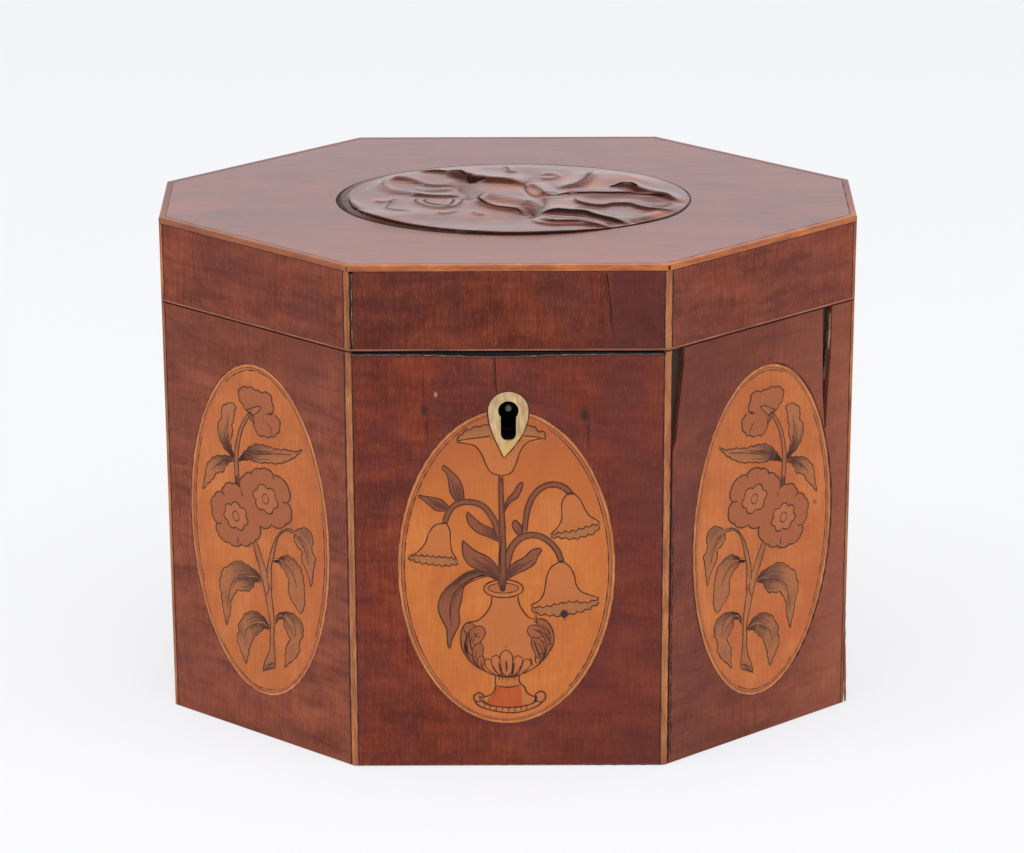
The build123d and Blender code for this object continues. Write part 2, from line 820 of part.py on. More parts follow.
stem_stalks = [
    stalk([(2.9, -34.2), (3.0, -24.0), (1.2, -10.8)], 2.2, 1.8),
    stalk([(1.6, -12.3), (-0.1, -8.3), (-1.7, -3.2)], 1.8, 0.9),
    stalk([(2.5, -12.8), (3.0, -5.6), (5.4, 0.6), (7.6, 2.8), (10.6, 2.7)], 1.5, 0.9),
    stalk([(-6.0, 8.6), (-6.1, 19.0), (-2.1, 28.6)], 1.2, 0.8),
]
roses = rose((-7.1, 2.5), 7.3, 9) + rose((2.5, 8.8), 7.1, 9)
top_flower = inlay(
    [(-2.4, 28.4), (-5.2, 31.4), (-3.4, 34.0), (0.6, 34.9), (4.4, 33.6), (5.0, 31.4), (4.6, 29.9)],
    [(4.6, 29.9), (6.8, 28.0), (5.4, 25.0), (2.4, 23.9), (0.4, 24.6), (-0.8, 26.8), (-2.4, 28.4)],
)

front_flowers = joined(front_bells + [tulip])
front_foliage = joined(front_leaves + front_stalks) - front_flowers - front_urn
canted_flowers = roses + top_flower
canted_foliage = joined(stem_leaves + stem_stalks) - canted_flowers


def laid_in(face, middle, outline, turn=0.0, flip=False):
    """Marquetry piece in its oval, the right hand packet turned over and a little askew."""
    if flip:
        outline = mirror(outline, Plane.YZ)
    return through_face(face, Pos(*middle) * Rot(0, 0, turn) * outline)


right_motif_middle = (right_oval_centre[0] + right_motif_shift, right_oval_centre[1])
left_place = {"face": 7, "middle": left_oval_centre}
right_place = {"face": 1, "middle": right_motif_middle, "turn": right_motif_turn, "flip": True}
front_place = {"face": FRONT, "middle": shifted_middle(front_motif_shift)}
front_outlines = (front_flowers, front_foliage, front_urn)
canted_outlines = (canted_flowers, canted_foliage)
front_pockets = [laid_in(outline=outline, **front_place) for outline in front_outlines]
left_pockets = [laid_in(outline=outline, **left_place) for outline in canted_outlines]
right_pockets = [laid_in(outline=outline, **right_place) for outline in canted_outlines]
save("front_oval", cut(front_oval, front_pockets))
save("canted_ovals", cut(left_oval, left_pockets), cut(right_oval, right_pockets))
save("front_flowers", cut(laid_in(outline=front_flowers, **front_place), [escutcheon_cutter]))
save("front_foliage", cut(laid_in(outline=front_foliage, **front_place), [escutcheon_cutter]))
save("front_urn", laid_in(outline=front_urn, **front_place))
canted_places = (left_place, right_place)
save("canted_flowers", *[laid_in(outline=canted_flowers, **place) for place in canted_places])
save("canted_foliage", *[laid_in(outline=canted_foliage, **place) for place in canted_places])

# Escutcheon

escutcheon_sketch = escutcheon_outline() - keyhole_outline()
escutcheon_plane = face_plane(FRONT).offset(escutcheon_proud)
escutcheon = extrude(escutcheon_plane * escutcheon_sketch, amount=-(veneer_thickness + escutcheon_proud))
save("escutcheon", escutcheon)

# Lock and hinges

save("lock_plate", lock_plate)
save("lock_case", lock_case)
save("lock_pin", lock_pin)
save("lock_bolt", lock_bolt)
save("lock_spring", lock_spring)
save("lock_screws", *screws_at(lock_screw_places))
save("hinge_case_leaves", *case_leaves)
save("hinge_pins", *hinge_pins)
save("hinge_case_screws", *screws_at(case_hinge_places))
save("hinge_lid_leaves", *lid_leaves)
save("hinge_lid_screws", *screws_at(lid_hinge_places))
save("link_plate", link_plate)
save("link_screws", *screws_at(link_places))

# Lid veneers and strings

rim_string_top = lid_bottom + rim_string_height
lid_sheet_bottom = rim_string_top + glue_line
lid_sheet_top = arris_bottom - glue_line
lid_sheets = [sheet_on_face(i, lid_sheet_bottom, lid_sheet_top) for i in range(8)]
lid_crack = crack(
    (lid_crack_top_x, lid_top - lid_crack_end),
    (lid_crack_foot_x, lid_bottom + lid_crack_end),
)
lid_sheets[FRONT] = cut(lid_sheets[FRONT], [through_face(FRONT, lid_crack)])
lid_sheets[BACK] = cut(lid_sheets[BACK], lid_hinge_cuts)
save("lid_front_veneer", lid_sheets[FRONT])
save("lid_back_veneer", lid_sheets[BACK])
save("lid_canted_veneers", *[lid_sheets[i] for i in CANTED])
save("lid_side_veneers", *[lid_sheets[i] for i in SIDES])
save("lid_corner_strings", *[corner_string(i, rim_string_top, arris_bottom) for i in range(8)])

rim_strings = [mitred_board(i, 0, veneer_thickness, lid_bottom, rim_string_top) for i in range(8)]
rim_strings[BACK] = cut(rim_strings[BACK], lid_hinge_cuts)
save("lid_rim_strings", *rim_strings)


def arris_string(face):
    """Square boxwood string along one top edge of the lid, mitred, its outer edge eased."""
    string = mitred_board(face, 0, arris_string_width, arris_bottom, lid_top)
    middle = face_plane(face).origin
    edge = string.edges().sort_by_distance((middle.X, middle.Y, lid_top))[0]
    return fillet(edge, arris_string_round)


save("lid_arris_strings", *[arris_string(i) for i in range(8)])

lid_plane = Plane.XY.offset(lid_top)
lid_sheet = octagon_slab(arris_string_width + glue_line, lid_board_top, lid_top)
lid_opening = oval(lid_oval_length, lid_oval_width, lid_oval_centre)
lid_sheet -= extrude(lid_plane * lid_opening, amount=-veneer_thickness)
save("lid_top_veneer", lid_sheet)
lid_oval_outline = oval(lid_oval_length, lid_oval_width, lid_oval_centre, glue_line)
lid_oval = extrude(
    lid_plane.offset(lid_oval_rise) * lid_oval_outline,
    amount=-(veneer_thickness + lid_oval_rise),
)
lid_oval = chamfer(lid_oval.edges().sort_by(Axis.Z)[-1], lid_oval_bevel)
save("lid_oval", lid_oval)
save("lid_lining", octagon_slab(wall_inside, lid_ceiling - foil_thickness, lid_ceiling))

# Compartment: lining strips, foil and loose inner lid

linings = [mitred_board(i, wall_inside, lining_inside, base_thickness, ledge_height) for i in range(8)]
save("compartment_linings", *linings)
foil = octagon_slab(lining_inside, base_thickness, ledge_height)
foil -= octagon_slab(lining_inside + foil_thickness, base_thickness + foil_thickness, ledge_height)
save("tea_foil", foil)

inner_lid_bottom = ledge_height + inner_lid_gap
inner_lid_top = inner_lid_bottom + inner_lid_thickness
inner_lid = octagon_slab(wall_inside + inner_lid_clearance, inner_lid_bottom, inner_lid_top)
inner_lid -= Pos(0, 0, inner_lid_bottom) * Cylinder(
    knob_peg_radius, inner_lid_thickness, align=(Align.CENTER, Align.CENTER, Align.MIN)
)
save("inner_lid", inner_lid)


def knob():
    """Turned knob: a foot ring, a flared neck and a ball, on a peg through the inner lid."""
    ball_centre = (0, knob_height - knob_ball_radius)
    ball_arc = 90 - knob_ball_start
    ball = CenterArc(ball_centre, knob_ball_radius, start_angle=knob_ball_start, arc_size=ball_arc)
    outline = [
        Line((0, -inner_lid_thickness), (knob_peg_radius, -inner_lid_thickness)),
        Line((knob_peg_radius, -inner_lid_thickness), (knob_peg_radius, 0)),
        Line((knob_peg_radius, 0), (knob_foot_radius, 0)),
        Line((knob_foot_radius, 0), (knob_foot_radius, knob_foot_height)),
        Line((knob_foot_radius, knob_foot_height), (knob_neck_radius, knob_foot_height)),
        Line((knob_neck_radius, knob_foot_height), ball @ 0),
        ball,
        Line((0, knob_height), (0, -inner_lid_thickness)),
    ]
    return revolve(Plane.XZ * make_face(outline), Axis.Z)


save("inner_lid_knob", Pos(0, 0, inner_lid_top) * knob())
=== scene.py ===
import math

import bmesh
import bpy
import numpy as np
from mathutils import Matrix, Vector


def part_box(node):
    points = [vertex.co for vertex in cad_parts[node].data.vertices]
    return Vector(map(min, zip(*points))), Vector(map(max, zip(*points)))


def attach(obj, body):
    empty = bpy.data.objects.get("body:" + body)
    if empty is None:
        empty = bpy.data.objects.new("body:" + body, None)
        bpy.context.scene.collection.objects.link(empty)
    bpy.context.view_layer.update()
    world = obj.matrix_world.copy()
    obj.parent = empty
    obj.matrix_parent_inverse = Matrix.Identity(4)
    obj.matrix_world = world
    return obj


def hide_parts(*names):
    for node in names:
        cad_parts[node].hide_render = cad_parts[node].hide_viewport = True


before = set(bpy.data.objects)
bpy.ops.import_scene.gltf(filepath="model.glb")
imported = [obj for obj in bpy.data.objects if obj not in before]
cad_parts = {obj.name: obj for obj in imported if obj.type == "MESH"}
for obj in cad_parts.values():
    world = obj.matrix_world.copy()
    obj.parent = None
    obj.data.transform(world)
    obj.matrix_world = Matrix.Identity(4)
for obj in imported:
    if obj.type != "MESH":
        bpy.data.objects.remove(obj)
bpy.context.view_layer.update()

# Lengths of the caddy are millimetres, and MM turns them to the frame's metres. The room and its
# lamps are in metres.
MM = 0.001


# Camera
# The photograph looks down on the caddy from a little under a metre, square to its front. Place,
# turn and lens come from a fit to the caddy's sixteen corners.
camera_distance = 971.4
camera_elevation = math.radians(21.528)
camera_turn = math.radians(-0.026)
camera_roll = math.radians(-0.160)
camera_target = Vector((0.81, 0.0, 64.52))
lens_mm = 147.85

towards_camera = Vector(
    (
        math.sin(camera_turn) * math.cos(camera_elevation),
        -math.cos(camera_turn) * math.cos(camera_elevation),
        math.sin(camera_elevation),
    )
)
level_right = Vector((0, 0, 1)).cross(towards_camera).normalized()
level_up = towards_camera.cross(level_right)
camera_right = level_right * math.cos(camera_roll) + level_up * math.sin(camera_roll)
camera_up = level_up * math.cos(camera_roll) - level_right * math.sin(camera_roll)
camera_data = bpy.data.cameras.new("camera")
camera_data.lens = lens_mm
camera_data.sensor_width = 36.0
camera_data.clip_start = 0.01
camera = bpy.data.objects.new("camera", camera_data)
bpy.context.scene.collection.objects.link(camera)
camera.matrix_world = Matrix.Translation(
    (camera_target + towards_camera * camera_distance) * MM
) @ Matrix((camera_right, camera_up, towards_camera)).transposed().to_4x4()
bpy.context.scene.camera = camera


# Floor, backdrop and light
# A white studio sweep under large soft lamps. Rays from the camera, and those that polish or
# metal mirrors, see it near white, and a share of the real light keeps the caddy's shadow.
paper_white = "#f9fafe"
paper_share = 0.70
paper_reflectance = 0.86
room_level = 0.34


def tone(hex_colour):
    """Linear RGBA of an sRGB hex colour: each channel is ((c + 0.055) / 1.055) ** 2.4, or
    c / 12.92 if it is dark."""
    srgb = [int(hex_colour[i : i + 2], 16) / 255 for i in (1, 3, 5)]
    return (*[c / 12.92 if c <= 0.04045 else ((c + 0.055) / 1.055) ** 2.4 for c in srgb], 1.0)


def add(tree, kind, inputs=None, **settings):
    """One shader node with its settings; inputs holds plain values or other nodes' sockets."""
    made = tree.nodes.new(kind)
    for name, value in settings.items():
        setattr(made, name, value)
    for socket, value in (inputs or {}).items():
        if isinstance(value, bpy.types.NodeSocket):
            tree.links.new(value, made.inputs[socket])
        else:
            made.inputs[socket].default_value = value
    return made


def seen_directly(tree):
    """1 for rays from the camera, a mirror or glass, and 0 for the rays that light the caddy."""
    rays = add(tree, "ShaderNodeLightPath").outputs
    shown = rays["Is Camera Ray"]
    for ray in ("Is Glossy Ray", "Is Transmission Ray"):
        shown = add(
            tree, "ShaderNodeMath", {0: shown, 1: rays[ray]}, operation="ADD", use_clamp=True
        ).outputs[0]
    return shown


sweep = bpy.data.materials.new("studio_paper")
sweep.use_nodes = True
tree = sweep.node_tree
tree.nodes.clear()
shown_share = add(tree, "ShaderNodeMath", {0: seen_directly(tree), 1: paper_share}, operation="MULTIPLY")
matt = add(tree, "ShaderNodeBsdfDiffuse", {"Color": (paper_reflectance,) * 3 + (1,)})
glow = add(tree, "ShaderNodeEmission", {"Color": tone(paper_white), "Strength": 1.0})
blend = add(
    tree, "ShaderNodeMixShader", {0: shown_share.outputs[0], 1: matt.outputs[0], 2: glow.outputs[0]}
)
add(tree, "ShaderNodeOutputMaterial", {"Surface": blend.outputs[0]})

floor_half = 4.0
floor_mesh = bpy.data.meshes.new("floor")
corners = [(x * floor_half, y * floor_half, 0.0) for x, y in ((-1, -1), (1, -1), (1, 1), (-1, 1))]
floor_mesh.from_pydata(corners, [], [(0, 1, 2, 3)])
floor_mesh.materials.append(sweep)
floor = bpy.data.objects.new("floor", floor_mesh)
bpy.context.scene.collection.objects.link(floor)

world = bpy.data.worlds.new("studio")
bpy.context.scene.world = world
world.use_nodes = True
tree = world.node_tree
tree.nodes.clear()
# The white sweep ends overhead, where polish and metal mirror a dim ceiling.
sky = add(tree, "ShaderNodeTexCoord").outputs["Generated"]
rise = add(tree, "ShaderNodeSeparateXYZ", {0: sky}).outputs[2]
sweep_level = add(
    tree,
    "ShaderNodeMapRange",
    {"Value": rise, "From Min": 0.45, "From Max": 0.9, "To Min": 1.0, "To Max": 0.3},
)
seen = add(tree, "ShaderNodeBackground", {"Color": tone(paper_white), "Strength": sweep_level.outputs[0]})
lighting = add(tree, "ShaderNodeBackground", {"Color": (1, 1, 1, 1), "Strength": room_level})
either = add(
    tree, "ShaderNodeMixShader", {0: seen_directly(tree), 1: lighting.outputs[0], 2: seen.outputs[0]}
)
add(tree, "ShaderNodeOutputWorld", {"Surface": either.outputs[0]})


def softbox(name, place, aim, size, power):
    """Square area lamp at a place, facing an aim point; metres and watts."""
    lamp = bpy.data.lights.new(name, "AREA")
    lamp.size = size
    lamp.energy = power
    holder = bpy.data.objects.new(name, lamp)
    bpy.context.scene.collection.objects.link(holder)
    way = Vector(aim) - Vector(place)
    holder.visible_glossy = False
    holder.matrix_world = Matrix.Translation(place) @ way.to_track_quat("-Z", "Y").to_matrix().to_4x4()


caddy_middle = (0.0, 0.0, 0.06)
softbox("overhead", (0.0, -0.2, 1.5), caddy_middle, 1.3, 15.0)
softbox("left_side", (-1.45, -0.5, 0.75), caddy_middle, 1.0, 9.0)
softbox("right_side", (1.45, -0.55, 0.7), caddy_middle, 1.0, 8.0)
softbox("front_fill", (0.2, -1.7, 0.9), caddy_middle, 1.0, 6.0)
bpy.context.scene.view_settings.view_transform = "Standard"


# Faces of the caddy
# The plan has eight sides. Their corners come from the outer faces of the veneers and from the
# boxwood string at each arris, so what is laid on a face follows the frame.
string_and_glue = 0.98
FRONT, FRONT_RIGHT, FRONT_LEFT = 0, 1, 7
FACE_NAMES = ["front", "front_right", "right", "back_right", "back", "back_left", "left", "front_left"]
front_low, front_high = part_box("case_front_veneer")
right_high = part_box("case_right_veneer")[1]
half_front = front_high.x / MM + string_and_glue
half_side = right_high.y / MM + string_and_glue
half_length = right_high.x / MM
half_depth = -front_low.y / MM
rim_height = front_high.z / MM
lid_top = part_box("lid_top_veneer")[1].z / MM
plan = np.array(
    [
        (-half_front, -half_depth),
        (half_front, -half_depth),
        (half_length, -half_side),
        (half_length, half_side),
        (half_front, half_depth),
        (-half_front, half_depth),
        (-half_length, half_side),
        (-half_length, -half_side),
    ]
)


def face_width(face):
    """Width of a face between its arrises."""
    return float(np.linalg.norm(plan[(face + 1) % 8] - plan[face]))


def face_directions(face):
    """Unit directions along a face, to the viewer's right, and out of it."""
    along = (plan[(face + 1) % 8] - plan[face]) / face_width(face)
    return along, np.array([along[1], -along[0]])


def on_face(face, spots):
    """Frame points of (along, up, proud) spots on a face: its middle plus along and proud times
    the face's own directions, with up as the height."""
    run, outwards = face_directions(face)
    middle = (plan[face] + plan[(face + 1) % 8]) / 2
    flat = middle + spots[..., :1] * run + spots[..., 2:] * outwards
    return np.concatenate([flat, spots[..., 1:2]], axis=-1)


# Carcass
# Thin deal boards, mitred at the eight corners and glued, which the veneers hide. Only their
# rims, their inside above the lining and what a veneer loss bares can be seen.
FACTOR, FIRST_NUMBER, SECOND_NUMBER, FIRST_COLOUR, SECOND_COLOUR, COLOUR_OUT = 0, 2, 3, 6, 7, 2


def finish_nodes(wood, *names):
    """Give carried-over pieces a finish through their own slots."""
    for name in names:
        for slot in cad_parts[name].material_slots:
            slot.material = wood["material"]


def grain(wood, size, detail, distortion=0.0):
    """Noise drawn out to a size along x, y and z, mostly between 0.3 and 0.7."""
    placed = add(
        wood["tree"], "ShaderNodeMapping", {"Vector": wood["place"], "Scale": [1 / (s * MM) for s in size]}
    )
    return add(
        wood["tree"],
        "ShaderNodeTexNoise",
        {
            "Vector": placed.outputs[0],
            "Scale": 1.0,
            "Detail": detail,
            "Roughness": 0.6,
            "Distortion": distortion,
        },
    ).outputs[0]


def glaze(wood, pattern, low, high, strength, hex_colour):
    """Lay a tone over a wood, rising from nothing where a pattern is low to strength where it is
    high, and send the colour to the shader."""
    share = add(
        wood["tree"],
        "ShaderNodeMapRange",
        {"Value": pattern, "From Min": low, "From Max": high, "To Max": strength},
    )
    mixed = add(
        wood["tree"],
        "ShaderNodeMix",
        {FACTOR: share.outputs[0], FIRST_COLOUR: wood["colour"], SECOND_COLOUR: tone(hex_colour)},
        data_type="RGBA",
    )
    wood["colour"] = mixed.outputs[COLOUR_OUT]
    wood["tree"].links.new(wood["colour"], wood["shader"].inputs["Base Color"])


def timber(name, tones, fibre, figure, roughness, relief, specular=0.3):
    """Wood whose tone lies between dark, middle and pale by the mean of two noises: fibres and
    broad figure, each with its sizes in x, y and z. The fibres also stand up by relief."""
    material = bpy.data.materials.new(name)
    material.use_nodes = True
    tree = material.node_tree
    wood = {"material": material, "tree": tree, "shader": tree.nodes["Principled BSDF"]}
    wood["shader"].inputs["Roughness"].default_value = roughness
    wood["shader"].inputs["Specular IOR Level"].default_value = specular
    wood["place"] = add(tree, "ShaderNodeTexCoord").outputs["Object"]
    wood["axes"] = add(tree, "ShaderNodeSeparateXYZ", {0: wood["place"]}).outputs
    fine = grain(wood, fibre, 4.0)
    broad = grain(wood, figure, 3.0, 0.6)
    both = add(
        tree, "ShaderNodeMix", {FACTOR: 0.55, FIRST_NUMBER: fine, SECOND_NUMBER: broad}, data_type="FLOAT"
    )
    ramp = add(tree, "ShaderNodeValToRGB", {"Fac": both.outputs[0]})
    stops = ramp.color_ramp.elements
    stops.new(0.5)
    for stop, position, hex_colour in zip(stops, (0.36, 0.5, 0.64), tones):
        stop.position = position
        stop.color = tone(hex_colour)
    bump = add(tree, "ShaderNodeBump", {"Height": fine, "Distance": relief * MM, "Strength": 0.6})
    tree.links.new(bump.outputs[0], wood["shader"].inputs["Normal"])
    tree.links.new(ramp.outputs[0], wood["shader"].inputs["Base Color"])
    wood["colour"] = ramp.outputs[0]
    return wood


def sawn_deal(name, roughness, relief):
    """Pale brown softwood with broad grain, as the saw and the plane left it."""
    return timber(name, ["#6b4527", "#8d6038", "#a37745"], (0.7, 0.7, 14), (9, 9, 27), roughness, relief)


deal = sawn_deal("deal_sawn", 0.7, 0.05)
finish_nodes(deal, "base_board", *[f"{face}_board" for face in FACE_NAMES if face != "front_right"])
finish_nodes(deal, "lid_top_board", "lid_front_rail", "lid_back_rail", "lid_canted_rails", "lid_side_rails")
# The front right board shows through the losses in its veneer, black with dirt and old glue.
bared_deal = sawn_deal("deal_with_old_glue", 0.75, 0.08)
veneer_thickness = 1.2
out_of_board = face_directions(FRONT_RIGHT)[1]
board_skin = plan[FRONT_RIGHT] @ out_of_board - veneer_thickness
depth_in_board = add(
    bared_deal["tree"],
    "ShaderNodeVectorMath",
    {0: bared_deal["place"], 1: [*out_of_board, 0.0]},
    operation="DOT_PRODUCT",
).outputs["Value"]
glaze(bared_deal, depth_in_board, (board_skin - 0.9) * MM, (board_skin - 0.5) * MM, 0.95, "#2c201a")
glaze(bared_deal, grain(bared_deal, (0.35, 0.35, 0.5), 2.0), 0.68, 0.73, 0.6, "#a8978a")
finish_nodes(bared_deal, "front_right_board")


# Face veneers
# Saw-cut figured veneer with upright grain, red-brown with plum patches, fine dark streaks and
# a soft ripple across, under old French polish that is worn to a low sheen.
X, Y, Z = range(3)


def face_veneer(name, tones, plum, plum_share):
    """Upright-grained veneer with plum patches, a soft ripple across the grain, and pale flecks."""
    wood = timber(name, tones, (0.45, 0.45, 8), (12, 12, 8), 0.42, 0.01, 0.12)
    glaze(wood, grain(wood, (12, 12, 25), 2.0, 0.5), 0.4, 0.64, plum_share, plum)
    glaze(wood, grain(wood, (20, 20, 3.2), 2.0, 0.8), 0.48, 0.66, 0.32, "#3f1a16")
    glaze(wood, grain(wood, (15, 15, 5), 2.0, 0.4), 0.52, 0.7, 0.4, tones[2])
    glaze(wood, grain(wood, (0.4, 0.4, 2.2), 2.0), 0.56, 0.72, 0.28, "#b0623f")
    glaze(wood, grain(wood, (0.3, 0.3, 4.5), 2.0), 0.6, 0.75, 0.4, "#381a16")
    return wood


def stain(wood, centre, size, hex_colour, strength):
    """Spot of another tone: strongest at its centre and gone at one size from it, size being its
    half-widths in x, y and z."""
    from_centre = wood["place"]
    for numbers, operation in ((centre, "SUBTRACT"), (size, "DIVIDE")):
        from_centre = add(
            wood["tree"],
            "ShaderNodeVectorMath",
            {0: from_centre, 1: [number * MM for number in numbers]},
            operation=operation,
        ).outputs[0]
    reach = add(wood["tree"], "ShaderNodeVectorMath", {0: from_centre}, operation="LENGTH")
    glaze(wood, reach.outputs["Value"], 1.0, 0.25, strength, hex_colour)


canted_tones = ["#6a3526", "#834331", "#9a553d"]
canted_veneer = face_veneer("figured_veneer_canted_sides", canted_tones, "#6b3a35", 0.5)
glaze(canted_veneer, canted_veneer["axes"][X], 58 * MM, half_length * MM, 0.45, "#a26048")
glaze(canted_veneer, canted_veneer["axes"][Z], 78 * MM, 98 * MM, 0.4, "#5f3028")
stain(canted_veneer, (42, -36, 50), (24, 60, 120), "#5c2f2b", 0.5)
finish_nodes(canted_veneer, *[f"case_{face}_veneer" for face in FACE_NAMES[1:]])
lid_veneer = face_veneer("figured_veneer_lid_sides", ["#5f2d22", "#7a3b2c", "#8e4a34"], "#623330", 0.5)
finish_nodes(lid_veneer, "lid_back_veneer", "lid_canted_veneers", "lid_side_veneers")

front_plane = -half_depth
front_veneer = face_veneer("figured_veneer_front", ["#5b2517", "#75311f", "#8c4129"], "#5b2e2e", 0.6)
glaze(front_veneer, front_veneer["axes"][X], -5 * MM, 30 * MM, 0.4, "#63302c")
for along, up in ((-18.4, 86.6), (16.8, 85.3)):
    stain(front_veneer, (along, front_plane, up), (1.3, 5.0, 2.0), "#2c2229", 0.85)
    stain(front_veneer, (along + 0.7, front_plane, up - 4.5), (0.4, 5.0, 5.5), "#3a2023", 0.7)
stain(front_veneer, (-18.6, front_plane, 92.5), (0.35, 5.0, 6.0), "#3a2023", 0.6)
stain(front_veneer, (-15.9, front_plane, 90.2), (0.5, 5.0, 0.8), "#c98c7c", 0.8)
# The top edge of the front veneer, in the gap under the lid, is painted near black: painted shadow.
glaze(front_veneer, front_veneer["axes"][Z], (rim_height - 0.1) * MM, rim_height * MM, 0.9, "#120a08")
finish_nodes(front_veneer, "case_front_veneer")

# The lid's front sheet is darker to the right of its crack.
crack_at = 22.2
lid_front = face_veneer("figured_veneer_lid_front", ["#512013", "#6a2e20", "#823f27"], "#562c2c", 0.5)
glaze(lid_front, lid_front["axes"][X], (crack_at - 0.6) * MM, (crack_at + 0.4) * MM, 0.55, "#532b2d")
finish_nodes(lid_front, "lid_front_veneer")


# Top veneer
# The lid's top is one sheet with the grain running left to right. Its polish is thicker and
# shows a milky sheen at a low angle.
top_veneer = timber(
    "figured_veneer_top", ["#5c271c", "#743327", "#8a4432"], (14, 0.35, 1), (34, 8, 8), 0.36, 0.02
)
glaze(top_veneer, grain(top_veneer, (3, 26, 3), 2.0, 0.6), 0.45, 0.7, 0.3, "#8a4a3c")
glaze(top_veneer, grain(top_veneer, (7, 0.5, 1), 3.0), 0.58, 0.75, 0.5, "#3c1c1a")
glaze(top_veneer, top_veneer["axes"][Y], -12 * MM, -44 * MM, 0.45, "#a05a42")
glaze(top_veneer, grain(top_veneer, (16, 0.7, 1), 3.0), 0.5, 0.7, 0.5, "#9c4c36")
glaze(top_veneer, grain(top_veneer, (8, 0.22, 1), 2.0), 0.5, 0.66, 0.55, "#3a1a16")
glaze(top_veneer, grain(top_veneer, (22, 1.6, 1), 2.0), 0.52, 0.68, 0.45, "#6d4340")


def varnish(wood, weight, roughness):
    """Coat a wood with a clear layer of its own roughness."""
    wood["shader"].inputs["Coat Weight"].default_value = weight
    wood["shader"].inputs["Coat Roughness"].default_value = roughness


varnish(top_veneer, 1.0, 0.3)
finish_nodes(top_veneer, "lid_top_veneer")


# Boxwood strings
# Square-cut boxwood glued into a rebate along every arris, and a thin one under the lid's rim:
# pale honey-coloured wood, darkened unevenly by handling and old polish.
boxwood_tones = ["#7a4530", "#a5653f", "#c08050"]
boxwood = timber("boxwood_string", boxwood_tones, (0.35, 0.35, 6), (4, 4, 16), 0.38, 0.008, 0.2)
glaze(boxwood, grain(boxwood, (2, 2, 9), 2.0), 0.5, 0.66, 0.45, "#7b4636")
finish_nodes(boxwood, "case_corner_strings", "lid_corner_strings")
worn_tones = ["#84431f", "#a85a28", "#c67636"]
worn_and_shaded_boxwood = timber("boxwood_string_worn_and_painted_shade", worn_tones, (7, 7, 1), (14, 14, 14), 0.34, 0.008, 0.12)
glaze(worn_and_shaded_boxwood, grain(worn_and_shaded_boxwood, (9, 9, 2), 2.0), 0.54, 0.68, 0.55, "#7a3f22")
# Towards the left end and towards the back, the arris string is painted darker: painted shade.
glaze(worn_and_shaded_boxwood, worn_and_shaded_boxwood["axes"][X], -32 * MM, -45 * MM, 0.6, "#7d4630")
glaze(worn_and_shaded_boxwood, worn_and_shaded_boxwood["axes"][Y], -25 * MM, 5 * MM, 0.85, "#6b382c")
varnish(worn_and_shaded_boxwood, 0.6, 0.3)
finish_nodes(worn_and_shaded_boxwood, "lid_arris_strings")
rim_tones = ["#694034", "#85523f", "#9d674f"]
rim_boxwood = timber("boxwood_rim", rim_tones, (7, 7, 1), (14, 14, 14), 0.4, 0.008, 0.2)
finish_nodes(rim_boxwood, "lid_rim_strings")


# Joints
# Hide glue and two centuries of wax and dirt darken the joint on each side of every string and round the
# ovals, and the shrunken veneer has opened some of them. The same dark material also paints shadow under
# the lid's arris strings and shade under the seam.
dirt_and_shade = timber(
    "glue_dirt_and_painted_shade", ["#20100d", "#351b15", "#4d2b20"], (0.6, 0.6, 2), (3, 3, 9), 0.7, 0.004
)
string_joint = 0.94
case_foot = front_low.z / MM
joint_proud = 0.006


def smooth_line(points, count):
    """Points evenly spaced along a curve through the given ones. Between two neighbours it is the
    cubic that has there the slopes found by differences over the chord length."""
    knots = np.asarray(points, float)
    chord = np.r_[0.0, np.cumsum(np.linalg.norm(np.diff(knots, axis=0), axis=1))]
    slope = np.gradient(knots, chord, axis=0)
    along = np.linspace(0.0, chord[-1], count)
    i = np.clip(np.searchsorted(chord, along, side="right") - 1, 0, len(knots) - 2)
    step = (chord[i + 1] - chord[i])[:, None]
    t = (along - chord[i])[:, None] / step
    start = (1 + 2 * t) * (1 - t) ** 2 * knots[i] + t * (1 - t) ** 2 * step * slope[i]
    end = t**2 * (3 - 2 * t) * knots[i + 1] - t**2 * (1 - t) * step * slope[i + 1]
    return start + end


def normals(line):
    """Unit directions square to a flat line, to its left."""
    way = np.gradient(line, axis=0)
    square = np.stack([-way[:, 1], way[:, 0]], axis=1)
    return square / (np.linalg.norm(square, axis=1)[:, None] + 1e-9)


def strip(line, width, taper=0.0, waver=0.2):
    """The two edges of a drawn line, half a width to each side of it. The width falls towards both
    ends over the share taper, and wavers as two sines do."""
    line = np.asarray(line, float)
    s = np.linspace(0, 1, len(line))
    ends = np.clip(np.minimum(s, 1 - s) / taper, 0, 1) ** 0.5 if taper else 1.0
    swing = np.sin(1.9 * line[:, 0] + 1.3 * line[:, 1]) + 0.6 * np.sin(4.7 * line[:, 1] - 3.1 * line[:, 0])
    half = (0.5 * width * (0.3 + 0.7 * ends) * (1 + 0.6 * waver * swing))[:, None]
    return np.stack([line - normals(line) * half, line + normals(line) * half])


